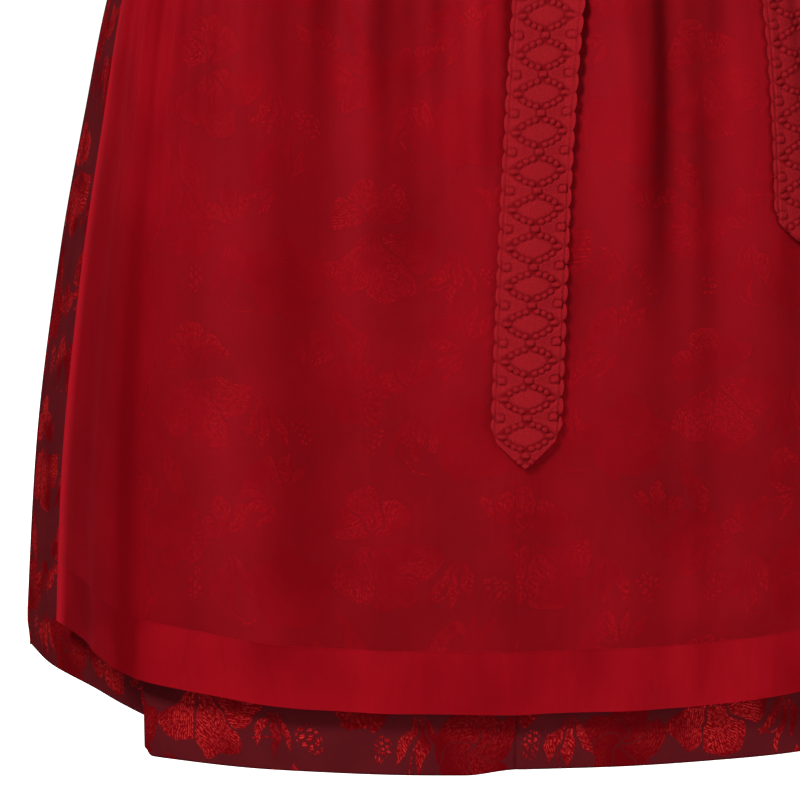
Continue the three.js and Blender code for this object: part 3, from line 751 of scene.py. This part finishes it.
seam_allowance = [
    # out past the edge, in behind the other piece
    (0.3, 0.7),
    (0.8, 1.4),
    (2.5, 2.0),
    (5.0, 2.7),
]


def with_allowance(grid, end):
    """Adds a seam's allowance, which lies behind the piece on the other side of the seam."""
    edge = grid[:, end]
    outwards = edge - grid[:, 1 if end == 0 else -2]
    outwards /= np.linalg.norm(outwards, axis=1, keepdims=True)
    inwards = edge * np.array([-1, -1, 0])
    inwards /= np.linalg.norm(inwards, axis=1, keepdims=True)
    strip = [edge + past * outwards + behind * inwards for past, behind in seam_allowance]
    if end == 0:
        return np.concatenate([np.stack(strip[::-1], axis=1), grid], axis=1)
    return np.concatenate([grid, np.stack(strip, axis=1)], axis=1)


left_front = turned_in(skirt_panel(front_line, True, left_front_lift), 0, 3.0, 0.7)
right_front = mirrored(turned_in(skirt_panel(front_line, True), 0, 3.0, 0.7))
# The hem of the right front rises to meet the left one at the seam.
by_seam = 1 - smooth_step(0, 34, np.abs(right_front[..., 0]))
right_front[..., 2] += left_front_lift * by_seam * (skirt_drops / skirt_length)[:, None] ** 4

fold_inset = 3.4
fold_crest = 1.025
side_lift = 17
back_folds = [
    # angle at the waist, angle at the hem, depth at the hem as a share of its reach
    (98, 99, 0.12),
    (114, 115, 0.15),
    (130, 131.5, 0.17),
    (147, 148, 0.17),
    (164, 165, 0.16),
]


def back_knot(waist, angle, reach, inset):
    """A point of the line round the back; reach is its share of the bell's half sizes at the hem."""
    _, side, _, behind = bell[-1]
    lift = side_lift * (1 - float(smooth_step(90, 150, angle)))
    x = side * reach * math.sin(math.radians(angle))
    y = -behind * reach * math.cos(math.radians(angle))
    return (waist, x, y, inset, lift, 9)


back_line = [back_knot(90, 90, 1, 0)]
for i, (waist, angle, depth) in enumerate(back_folds):
    beyond = back_folds[i + 1] if i + 1 < len(back_folds) else (360 - waist, 360 - angle, depth)
    for way, deep, inset in ((-1, 0.42, fold_inset / 2), (0, 1, fold_inset), (1, 0.42, fold_inset / 2)):
        back_line.append(back_knot(waist + way * 1.9, angle + way * 3.8, 1 - depth * deep, inset))
    back_line.append(back_knot((waist + beyond[0]) / 2, (angle + beyond[1]) / 2, fold_crest, 0))
back_line = table(*back_line)
back = with_allowance(skirt_panel(back_line, False), 0)
front_flat = (0.61, 0.70)
back_flat = (0.75, 0.70)
skirt_start = 168.0
skirt_panels = [
    # node, grid, place across the repeat, flat size, what holds it
    ("skirt_front_left", with_allowance(left_front, 0), 141.0, front_flat, "bodice_front_left"),
    ("skirt_front_right", right_front, 130.0, front_flat, "bodice_front_left"),
    ("skirt_back_left", with_allowance(back, -1), 60.0, back_flat, "bodice_back_left"),
    ("skirt_back_right", mirrored(back), 10.0, back_flat, "bodice_back_left"),
]
for name, grid, start, flat, above in skirt_panels:
    material = brocade_cloth(name + " brocade", start, skirt_start)
    piece = cloth_piece(name + "_cloth", grid, 1.0, material)
    dressed(piece, name, "brocade")
    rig.sheet(piece, flat=flat, held="gathered", rests_on=[above])

# --------------------------------------------------------------------------------------- bodice, 8 panels
# Princess-seamed brocade panels cut with the straps in one, closed edge to edge at the centre front over
# a tape. Every edge is turned under, so the neckline and the armholes are left plain.
body = table(
    # height, side, front, back: half sizes
    (-400, 136, 101, 101),
    (-350, 139, 106, 103),
    (-300, 147, 118, 106),
    (-250, 156, 129, 110),
    (-200, 158, 122, 113),
    (-150, 155, 103, 111),
    (-100, 152, 83, 101),
    (-60, 150, 65, 82),
    (-25, 148, 43, 55),
    (-8, 147, 24, 31),
    (-2, 146, 11, 14),
    (0, 146, 0, 0),
)


def squareness(z):
    return 2 + 0.35 * smooth_step(-400, -280, z)


def body_points(angle, z, out=0.0):
    power = 2 / squareness(z)
    sine = np.sin(np.radians(angle))
    cosine = np.cos(np.radians(angle))
    depth = np.where(cosine > 0, read(body, 2, z), read(body, 3, z))
    x = read(body, 1, z) * np.sign(sine) * np.abs(sine) ** power
    y = -depth * np.sign(cosine) * np.abs(cosine) ** power
    fall = 0.16 * np.maximum(0, np.abs(x) - 80) * smooth_step(-150, 0, z)
    flat = np.maximum(np.hypot(x, y), 1e-6)
    return np.stack([x + out * x / flat, y + out * y / flat, z - fall], axis=-1)


def angle_at(x, z):
    share = np.clip(np.asarray(x, float) / read(body, 1, z), 0, 1)
    return np.degrees(np.arcsin(share ** (squareness(z) / 2)))


def even_rows(stations, rows):
    """Stations, each (angle, height), with more of them put in between."""
    numbers = np.arange(len(stations))
    at = np.linspace(0, numbers[-1], rows)
    return np.column_stack([np.interp(at, numbers, column) for column in stations.T])


def bodice_panel(inner, outer, rows=60, columns=22):
    """A panel between two lines of stations, in rows down from its top."""
    a = even_rows(inner, rows)
    b = even_rows(outer, rows)
    width = np.linalg.norm(body_points(a[:, 0], a[:, 1]) - body_points(b[:, 0], b[:, 1]), axis=1)
    margin = 0.03 / np.maximum(width, 1)
    share = np.linspace(margin, 1 - margin, columns).T
    angle = a[:, :1] * (1 - share) + b[:, :1] * share
    height = a[:, 1:] * (1 - share) + b[:, 1:] * share
    return body_points(angle, height)[::-1]


front_cut = table(
    # inner x, inner height, outer x, outer height
    (0, -400, 58, -400),
    (0, -350, 66, -347),
    (0, -300, 80, -293),
    (0, -250, 96, -243),
    (0, -212, 112, -200),
    (22, -202, 126, -176),
    (43, -187, 131, -154),
    (59, -165, 129, -128),
    (70, -133, 125, -98),
    (77, -90, 122, -64),
    (81, -45, 121, -33),
    (84, -16, 121, -12),
    (85, -4, 121, -3),
    (85, 0, 121, 0),
)
back_cut = table(
    (0, -400, 34, -400),
    (0, -350, 40, -350),
    (0, -300, 52, -300),
    (0, -250, 74, -250),
    (0, -200, 100, -203),
    (0, -150, 124, -166),
    (0, -104, 129, -130),
    (34, -99, 127, -102),
    (60, -84, 124, -72),
    (74, -56, 122, -44),
    (81, -26, 121, -20),
    (84, -8, 121, -7),
    (85, -2, 121, -2),
    (85, 0, 121, 0),
)


def cut_lines(cut, behind):
    lines = []
    for x, z in ((0, 1), (2, 3)):
        angle = angle_at(cut[:, x], cut[:, z])
        lines.append(np.column_stack([180 - angle if behind else angle, cut[:, z]]))
    return lines


front_inner, front_princess = cut_lines(front_cut, False)
back_inner, back_princess = cut_lines(back_cut, True)
side_seam = np.column_stack([np.full(6, 90.0), np.linspace(-400, -196, 6)])
front = bodice_panel(front_inner, front_princess)
side = bodice_panel(front_princess[:6], side_seam, 36, 18)
side_back = bodice_panel(side_seam, back_princess[:6], 36, 18)
back_panel = bodice_panel(back_inner, back_princess)[:, ::-1]
side = with_allowance(with_allowance(side, 0), -1)
side_back = with_allowance(side_back, -1)
bodice = [
    # node, grid, place in the repeat, flat size, share of it that the cut takes
    ("bodice_front_left", front, (0, 0), (0.12, 0.455), 0.56),
    ("bodice_side_left", side, (70, 150), (0.137, 0.225), 0.92),
    ("bodice_side_back_left", side_back, (20, 60), (0.154, 0.23), 0.90),
    ("bodice_back_left", back_panel, (90, 30), (0.14, 0.46), 0.51),
]
# The right side is cut a little further along the bolt.
right_shift = 47.0
for name, grid, start, flat, used in bodice:
    for side_name, laid, shift in (("left", grid, 0), ("right", mirrored(grid), right_shift)):
        node = name.replace("left", side_name)
        if node == "bodice_back_left":
            laid = with_allowance(laid, -1)
        material = brocade_cloth(node + " brocade", start[0] + shift, start[1])
        piece = cloth_piece(node + "_cloth", laid, 1.4, material)
        dressed(piece, node, "brocade")
        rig.sheet(piece, flat=flat, held="stretched", area=used * flat[0] * flat[1])

# The tape behind the centre front, which the hooks and eyes are sewn to.
tape_heights = np.array([-218, -250, -300, -350, -396], float)
tape_heights = np.interp(np.linspace(0, 4, 33), np.arange(5), tape_heights)[:, None]
tape_x = np.linspace(-9, 9, 9)[None, :]
tape_angle = np.sign(tape_x) * angle_at(np.abs(tape_x), tape_heights)
tape_grid = body_points(tape_angle, tape_heights + 0 * tape_x, -2.2)
tape_cloth = brocade_cloth("hook tape", 30.0, 90.0)
tape = cloth_piece("hook_tape_cloth", tape_grid, 1.0, tape_cloth)
dressed(tape, "hook_tape", "brocade")
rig.sheet(tape, flat=(0.018, 0.182), held="stretched", rests_on=["bodice_front_left"])

# ------------------------------------------------------------------------------------------------- apron
# Sheer silk organza, gathered onto its band, hanging free with a narrow rolled hem down each side and a
# deep hem turned up at the foot, which is double and so less sheer.
apron_length = 655.0
apron_hem_depth = 43.0
apron_line = table(
    # share of the half width, waist angle, x and y at the hem, lift at the hem
    (0, 0, 0, -309, 0),
    (0.2, 20, 75, -306, 0.7),
    (0.35, 36, 130, -300, 2.5),
    (0.47, 50, 175, -291, 6),
    (0.6, 62, 220, -277, 11.5),
    (0.68, 70, 250, -263, 15),
    (0.75, 74, 263, -238, 17),
    (0.84, 78, 279, -196, 18),
    (0.92, 81.5, 294, -149, 17),
    (1, 84, 309, -102, 15),
)
apron_ridges = [
    # share, width to its left and right, how far out, at the hem, and the drops that it falls away over
    (-0.83, 0.035, 0.08, 4.0, 4.5, 220, 655),
    (-0.745, 0.06, 0.045, 5.0, 4.0, 450, 655),
    (-0.60, 0.08, 0.05, 4.0, 2.0, 220, 655),
    (-0.43, 0.095, 0.085, 16.0, 3.5, 520, 650),
    (-0.24, 0.05, 0.065, 12.0, 2.0, 280, 480),
    (-0.02, 0.11, 0.06, 9.0, 3.0, 220, 655),
    (0.205, 0.06, 0.055, 19.0, 2.0, 240, 450),
    (0.31, 0.03, 0.03, 6.0, 1.5, 260, 480),
    (0.45, 0.08, 0.06, 12.0, 3.0, 240, 655),
    (0.56, 0.07, 0.05, 8.0, 4.0, 220, 655),
    (0.78, 0.08, 0.05, 7.0, 2.5, 220, 655),
]
apron_gathers = 20
apron_width = 900.0


def apron_fold(share, drop):
    """How far the apron's folds stand out from its smooth shape."""
    depth = gather_depth(0.7, 5, 60, 330, drop)
    made = depth / 2 * (1 - np.cos(np.pi * apron_gathers * (share + 1)))
    grown = smooth_step(20, 150, drop)
    for centre, left, right, out, at_hem, holds_to, falls_by in apron_ridges:
        width = np.where(share < centre, left, right)
        bump = np.exp(-(((share - centre) / width) ** 2))
        fallen = smooth_step(holds_to, falls_by, drop)
        made = made + grown * (out + (at_hem - out) * fallen) * bump
    return made


def apron_points(share, drop, out):
    at = np.abs(share)
    waist, x, y, lift = (read(apron_line, k, at) for k in (1, 2, 3, 4))
    laid = out + 2.5 * (1 - smooth_step(0, 300, drop))
    points = bell_points(np.radians(waist), x, y, 0.0, lift, drop, laid, apron_length)
    points[..., 0] *= np.where(share < 0, -1, 1)
    return points


def mark(piece, name, amount):
    """Lays a number on each point of a piece's grid, for its material to read."""
    held = piece.data.attributes.new(name, "FLOAT", "POINT")
    held.data.foreach_set("value", amount.astype(np.float32).ravel())


share, drop = np.meshgrid(
    np.linspace(-1, 1, 421),
    np.concatenate([np.linspace(-5, 120, 30), np.linspace(126, apron_length, 100)]),
)
fine_gathers = 0.7 * (1 - np.cos(np.pi * 43 * share + 3 * np.sin(9 * share)))
fine_gathers = fine_gathers * smooth_step(20, 45, drop) * (1 - smooth_step(60, 400, drop))
apron_out = apron_fold(share, drop) + fine_gathers
apron_grid = apron_points(share, drop, apron_out)
apron_fabric = np.stack([share * apron_width / 2, drop], axis=-1)

apron_cloth, w, shader = start_material(
    "organza",
    Roughness=0.5,
    Specular_IOR_Level=0.0,
    Sheen_Weight=0.06,
    Sheen_Roughness=0.4,
    Sheen_Tint=(1.0, 0.12, 0.18, 1),
)
laid, across, down = w.flat_cloth()
hem_top = apron_length - apron_hem_depth
in_hem = ((down - hem_top) * 1.5).clamped()
from_edge = apron_width / 2 - abs(across)
in_roll = (5.0 - from_edge).clamped()
double = in_hem.math("MAXIMUM", in_roll)
place = w.place(across, down * 0.25)
slub = w.noise(place, 0.16)
cloud = w.noise(laid, 13.0, 1.0)
uneven = (slub - 0.5) * 0.05 + (cloud - 0.5) * 0.22
# Towards its sides the apron turns away, and there is more thread to look through.
beside = ((abs(across) - 262.0) / 50.0).clamped()
# Painted shade on the falling flanks of the folds, marked on the apron's points below; it also makes the organza a
# little less sheer there.
steep = w.attribute("steep")
cover = double * 0.31 + beside * 0.28 + (uneven + 0.60)
w.feed(shader["Alpha"], (cover + steep * 0.2).clamped())

sheer_red = (0.270, 0.0032, 0.0076, 1)
sheer_light = (0.390, 0.0048, 0.0112, 1)
sheer_dense_shade = (0.16, 0.0014, 0.0038, 1)
sheer_highlight = (0.43, 0.0070, 0.0150, 1)
sheer = w.blend((slub + cloud * 2.0) * 0.34, sheer_red, sheer_light)
# Painted highlight along each rolled side edge, where the organza is also kept from the denser red.
painted_edge_highlight = ((18.0 - from_edge) / 12.0).clamped()
# Painted highlight on the flanks that rise to the next fold, read from the "lit" mark.
sheer = w.blend(painted_edge_highlight.math("MAXIMUM", w.attribute("lit") * 0.75), sheer, sheer_highlight)
# Painted shade: lower down towards the sides the red is darkened; in the double hem it is darker in random patches,
# and the stitches at its top are darker too.
lower = ((down - 230.0) / 180.0).clamped()
dense_and_shaded = beside * lower * 0.66 + in_hem * ((cloud - 0.38) * 1.8).clamped()
# A line of small stitches holds the top of the hem.
on_line = ((0.55 - abs(down - (hem_top + 1.2))) * 4.0).clamped()
dashes = ((across * 1.7).math("SINE") * 3.0).clamped()
dense_and_shaded = (dense_and_shaded + on_line * dashes * 0.4) * (1.0 - painted_edge_highlight)
# The painted shade of the folds and of the lower sides darkens the base colour here.
w.feed(shader["Base Color"], w.blend((steep + dense_and_shaded).clamped(), sheer, sheer_dense_shade))
w.feed(shader["Normal"], w.bump(0.2, 0.0003, double + w.noise(place, 0.5) * 0.2))

apron = cloth_piece("apron_cloth", apron_grid, None, apron_cloth, apron_fabric)
# Where a fold falls away steeply, more threads lie behind one another, so the organza is a little less sheer there,
# and its red is darkened as painted shade;
# where it rises to the next fold the silk is lightened, a painted highlight.
slope = -np.gradient(apron_out, axis=1) / np.gradient(share, axis=1) / 400
mark(apron, "steep", np.clip(slope / 0.65, 0, 1))
mark(apron, "lit", np.clip(-slope / 0.45, 0, 1))
dressed(apron, "apron", "organza")
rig.sheet(apron, flat=(0.90, 0.66), held="gathered", rests_on=["apron_band"])

# --------------------------------------------------------------------------------------- ribbon, woven
# A relief ribbon with a scalloped edge: pointed ovals ringed with beads, a lattice between them and a
# small block at each side. It bands the apron, runs on round the back and is tied in the bow.
ribbon_width = 47.0
ribbon_repeat = 24.6


def bead(u, v, at_u, at_v, long, short, turn, power):
    """A rounded bump one unit high, seen at u and v."""
    du = u - at_u
    dv = v - at_v
    along = du * math.cos(turn) + dv * math.sin(turn)
    aside = dv * math.cos(turn) - du * math.sin(turn)
    left = 1 - np.abs(along / long) ** power - np.abs(aside / short) ** power
    return np.sqrt(np.maximum(left, 0))


# One quarter of the weave's bumps, which all four repeat: the oval's beads, a block at the ribbon's side
# and one between the ovals. A power of 2 gives an ellipse, and more gives a block.
half_repeat = ribbon_repeat / 2
quarter = [
    # across, along, half length, half width, turn, power
    (3.7, 7.9, 2.1, 1.75, 0.12, 2),
    (8.0, 6.5, 2.1, 1.75, 0.34, 2),
    (12.0, 4.2, 2.1, 1.75, 0.50, 2),
    (15.6, 0, 3.2, 1.75, 0, 2),
    (17.6, half_repeat, 3.0, 2.3, 0, 3.5),
    (0, half_repeat, 2.8, 2.0, 0, 3.5),
]
bumps = {
    (side * across, end * along, long, short, -side * end * turn, power)
    for across, along, long, short, turn, power in quarter
    for side in (-1, 1)
    for end in (-1, 1)
}
bump_height = 2.15


def ribbon_relief(u, along):
    """The height of the weave, in millimetres, across the ribbon and along it."""
    v = np.mod(along, ribbon_repeat) - half_repeat
    oval = (np.abs(u) / 16.2) ** 1.45 + (np.abs(v) / 8.5) ** 1.45
    lattice = np.abs(np.abs(v) - (half_repeat - 0.44 * np.abs(u)))
    height = 0.75 + 0.3 * smooth_step(9, 18, np.abs(u)) + 0.45 * np.exp(-((lattice / 1.5) ** 2))
    height = np.where(oval < 1, 1.0, height) * (1 - np.exp(-(((oval - 1) / 0.30) ** 2)))
    for at_u, at_v, long, short, turn, power in sorted(bumps):
        sunk = bead(u, v, at_u, at_v, long + 1.1, short + 1.0, turn, power)
        height = height * (1 - 0.85 * sunk**0.7)
    for bump in sorted(bumps):
        height = np.maximum(height, bump_height * bead(u, v, *bump))
    # The scallops stand beyond a groove along each edge.
    lobe = np.abs(np.sin(np.pi * along / half_repeat))
    edge = smooth_step(20.3, 21.2, np.abs(u)) * 1.7 * lobe**0.4
    height = height + 0.35 * np.exp(-(((np.abs(u) - 19.0) / 0.7) ** 2))
    return np.maximum(height * (1 - 0.55 * smooth_step(19.6, 20.6, np.abs(u))), edge)


def scalloped(share, along, width):
    """How far from the middle a share of the width lies, with the edge drawn in between the scallops."""
    lobe = np.abs(np.sin(np.pi * along / half_repeat)) ** 0.6
    return share * (width - 3.6 * (1 - lobe) * smooth_step(0.38, 0.5, np.abs(share)))


ribbon_cavity_shade = (0.172, 0.0036, 0.0066, 1)
ribbon_red = (0.190, 0.0040, 0.0072, 1)
ribbon_bright = (0.390, 0.0140, 0.0200, 1)
ribbon_cloth, w, shader = start_material(
    "ribbon",
    Roughness=0.5,
    Specular_IOR_Level=0.0,
    Sheen_Weight=0.06,
    Sheen_Roughness=0.4,
    Sheen_Tint=(1.0, 0.16, 0.20, 1),
)
across, down = w.flat_cloth()[1:]
fibre = w.noise(w.place(across, down), 0.9, 3.0)
crest = w.blend(fibre, ribbon_red, ribbon_bright)
# Painted shade: the weave is darker in its recesses, where the "raised" mark is low; the fibre noise mottles the
# raised parts.
w.feed(shader["Base Color"], w.blend(w.attribute("raised"), ribbon_cavity_shade, crest))
ribs = (across * 7.5).math("SINE")
w.feed(shader["Normal"], w.bump(0.3, 0.0002, ribs * 0.3 + fibre))


def raised_ribbon(name, face, u, along):
    """A ribbon whose face is a grid of points: its relief stands out from them, and its back is plain."""
    relief = ribbon_relief(u, along)
    lifted = face + normals_of(face) * relief[..., None]
    piece = cloth_piece(name, lifted, None, ribbon_cloth, np.stack([u, along], axis=-1))
    # Marks the relief's height for the painted shade in its recesses.
    mark(piece, "raised", np.clip(relief, 0, 1))
    return piece


band_top = -373.0
band_middle = -396.0
ribbon_shares = np.linspace(0.5, -0.5, 49)[:, None]


def band_points(angle, z, out=0.0):
    share = (band_top - z) / ribbon_width
    points = body_points(angle, np.maximum(z, waist_z), 3.7 + 3.3 * share + out)
    points[..., 2] = z
    return points


for name, first, last, length in (("apron_band", -92, 92, 0.40), ("ribbon_round_back", 92, 268, 0.39)):
    angles = np.linspace(first, last, 361)
    line = band_points(angles, np.full(len(angles), band_middle))
    run = running(np.linalg.norm(np.diff(line, axis=0), axis=1))[None, :]
    u = scalloped(ribbon_shares, run, ribbon_width)
    grid = band_points(angles[None, :] + 0 * u, band_top - ribbon_width / 2 + u)
    piece = raised_ribbon(name + "_ribbon", grid, u, run + 0 * u)
    dressed(piece, name, "ribbon")
    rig.sheet(piece, flat=(length, ribbon_width / 1000), held="stretched", rests_on=["bodice_side_left"])

# --------------------------------------------------------------------------------------------------- bow
# Tied on the wearer's left: a knot, two loops that stand a little off the band, and two tails of unequal
# length, cut to a point and lying on the apron.
bow_angle = 28.0
bow_centre = band_points(np.array(bow_angle), np.array(band_middle))
_, waist_side, waist_front, _ = body[0]
bow_out = np.array([bow_centre[0] / waist_side**2, bow_centre[1] / waist_front**2, 0])
bow_out /= np.linalg.norm(bow_out)
bow_along = np.array([-bow_out[1], bow_out[0], 0])


def bow_points(along, out, up):
    """Points measured from the bow's middle: along the waist, out from the band's face and up."""
    place = bow_centre + along[..., None] * bow_along + (out[..., None] + 1.2) * bow_out
    return place + up[..., None] * np.array([0, 0, 1])


loop_line = table(
    # along the waist, out from the band, share of the ribbon's width
    (17, 14, 0.55),
    (38, 22, 0.8),
    (66, 27, 0.98),
    (88, 25, 1),
    (99, 17, 1),
    (93, 8.5, 1),
    (72, 6, 0.98),
    (44, 5.5, 0.84),
    (17, 6, 0.55),
)
loop = through(loop_line[None], [34] * 8)[0]
run = running(np.linalg.norm(np.diff(loop[:, :2], axis=0), axis=1))
u = scalloped(ribbon_shares, run[None, :], ribbon_width)
fall = 0.1 * (loop[:, 0] - loop[0, 0])
# Beside the knot the ribbon is crushed into fine folds.
crush = 1.6 * np.sin(5 * np.pi * ribbon_shares) * np.exp(-(np.minimum(run, run[-1] - run) / 30))
for name, side in (("bow_loop_left", 1), ("bow_loop_right", -1)):
    place = bow_points(side * (loop[:, 0] + 0 * u), loop[:, 1] + crush, u * loop[:, 2] - fall)
    piece = raised_ribbon(name + "_ribbon", place[:, ::side], u[:, ::side], (run + 0 * u)[:, ::side])
    dressed(piece, name, "ribbon")
    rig.sheet(piece, flat=(0.175, ribbon_width / 1000), held="folded", rests_on=["bow_knot"])

knot_width = 16.0
knot_depth = 8.5
knot_height = 22.0
knot_draw = 1.3
knot_power = 0.62
turn, rise = np.meshgrid(np.linspace(0, 2 * np.pi, 241), np.linspace(np.pi, 0, 161))


def swollen(value):
    return np.sign(value) * np.abs(value) ** knot_power


knot_ends = np.sin(rise)
knot_u = swollen(np.cos(turn) * knot_ends) * knot_width
knot_out = knot_depth * (1 + swollen(np.sin(turn) * knot_ends))
knot_up = swollen(-np.cos(rise)) * knot_height
pinch = 1 + 0.05 * np.cos(5 * turn) * knot_ends
# The ribbon goes over the knot from top to bottom, drawn together into three soft folds.
on_face = smooth_step(10, 15, knot_out)
knot_folds = 1.3 * np.cos(knot_u * 0.62 + 0.5 * np.sin(knot_up / 9))
knot_relief = ribbon_relief(knot_u * knot_draw, knot_up + 60)
knot_lift = (knot_folds + 0.6 * knot_relief) * on_face
knot_grid = bow_points(knot_u * pinch, knot_out + knot_lift, knot_up)[::-1, ::-1]
knot_place = np.stack([knot_u * knot_draw, knot_up], axis=-1)[::-1, ::-1]
knot = cloth_piece("bow_knot_ribbon", knot_grid, None, ribbon_cloth, knot_place)
# The knot's relief, marked for the painted shade in its recesses.
mark(knot, "raised", np.clip(knot_relief, 0.4, 1)[::-1, ::-1])
# The top and the bottom of the knot each close in one point.
closing = bmesh.new()
closing.from_mesh(knot.data)
bmesh.ops.dissolve_degenerate(closing, dist=1e-6, edges=closing.edges)
closing.to_mesh(knot.data)
closing.free()
dressed(knot, "bow_knot", "ribbon")
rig.sheet(knot, flat=(0.10, ribbon_width / 1000), held="folded", rests_on=["apron_band"])

tails = {
    "bow_tail_right": table(
        # drop, x of its middle, share of the ribbon's width
        (19, 57, 0.3),
        (42, 48, 0.55),
        (75, 39.5, 0.8),
        (120, 32, 0.96),
        (190, 22.6, 1),
        (340, 11.6, 1),
        (489, 4.5, 1),
    ),
    "bow_tail_left": table(
        (19, 72.5, 0.3),
        (42, 94, 0.55),
        (75, 122, 0.8),
        (120, 152, 0.96),
        (190, 182, 1),
        (270, 188, 1),
        (357, 191, 1),
    ),
}
tail_point = 25.0
tail_step = 0.7
tail_clear = 1.4


def share_at(x, drop):
    """The apron's share at which its smooth surface has a given x."""
    low = np.full(np.shape(x), -1.0)
    high = np.full(np.shape(x), 1.0)
    for _ in range(24):
        middle = (low + high) / 2
        short = apron_points(middle, drop, 0.0)[..., 0] < x
        low = np.where(short, middle, low)
        high = np.where(short, high, middle)
    return (low + high) / 2


for name, line in tails.items():
    start = line[0, 0]
    end = line[-1, 0]
    shares = np.linspace(-0.5, 0.5, 69)[None, :]
    rows = int((end - start) / tail_step)
    aside = 2 * np.abs(shares)
    shoulder = end - (tail_point - 3) * aside**1.15 - 7 * smooth_step(0.78, 1.06, aside)
    drop = start + (shoulder - start) * np.linspace(0, 1, rows)[:, None]
    width = ribbon_width * read(line, 2, drop)
    u = scalloped(shares, drop, width)
    x = read(line, 1, drop) + u
    share = share_at(x, drop)
    highest = np.max([apron_fold(share + step, drop) for step in (-0.03, 0, 0.03)], axis=0)
    clear = highest + tail_clear + 3.5 * (1 - smooth_step(19, 60, drop))
    face = apron_points(share, drop, clear)
    piece = raised_ribbon(name + "_ribbon", face, u * ribbon_width / width, drop + 11.7)
    dressed(piece, name, "ribbon")
    length = (end - start) / 1000 * 1.06
    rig.sheet(piece, flat=(ribbon_width / 1000, length), held="hung", rests_on=["bow_knot"])

# --------------------------------------------------------------------------------------- floor and light
# A plain pale studio floor, well under the hem of a garment that hangs from its wearer's shoulders, and
# broad soft lights.
floor_half = 30.0
floor_z = -1.55
floor_paint, w, shader = start_material(
    "floor",
    Base_Color=(0.8, 0.8, 0.8, 1),
    Roughness=0.9,
    Specular_IOR_Level=0.0,
    Emission_Color=(1, 1, 1, 1),
)
w.feed(shader["Emission Strength"], w.outputs(w.node("ShaderNodeLightPath"))["Is Camera Ray"])
corners = [(x * floor_half, y * floor_half, floor_z) for x, y in ((-1, -1), (1, -1), (1, 1), (-1, 1))]
floor_mesh = bpy.data.meshes.new("floor")
floor_mesh.from_pydata(corners, [], [(0, 1, 2, 3)])
floor_mesh.materials.append(floor_paint)
floor = bpy.data.objects.new("floor", floor_mesh)
bpy.context.scene.collection.objects.link(floor)
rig.stage(floor)

world = bpy.data.worlds.new("studio")
bpy.context.scene.world = world
world.use_nodes = True
w = Wiring(world.node_tree)
walls = world.node_tree.nodes["Background"]
walls.inputs["Color"].default_value = (1, 1, 1, 1)
seen = w.outputs(w.node("ShaderNodeLightPath"))["Is Camera Ray"]
wall_light = 0.14
w.feed(walls.inputs["Strength"], seen * 0.90 + wall_light)
lamp_aim = Vector((0, 0, -0.75))
lamps = [
    # name, place, size in metres, watts
    ("key", (-1.65, -2.15, 1.55), 0.8, 108),
    ("fill", (2.3, -2.3, -0.4), 1.6, 34),
    ("back", (0.8, 2.9, 0.2), 1.6, 60),
]
for name, place, size, watts in lamps:
    lamp_data = bpy.data.lights.new(name, "AREA")
    lamp_data.shape = "SQUARE"
    lamp_data.size = size
    lamp_data.energy = watts
    lamp = bpy.data.objects.new(name, lamp_data)
    lamp.location = place
    lamp.rotation_euler = (lamp_aim - Vector(place)).to_track_quat("-Z", "Y").to_euler()
    bpy.context.scene.collection.objects.link(lamp)
bpy.context.scene.view_settings.view_transform = "Standard"

with open("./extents.json", "w") as sizes:
    json.dump({"cad": cad_box, "visual": [list(corner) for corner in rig.bounds()]}, sizes)
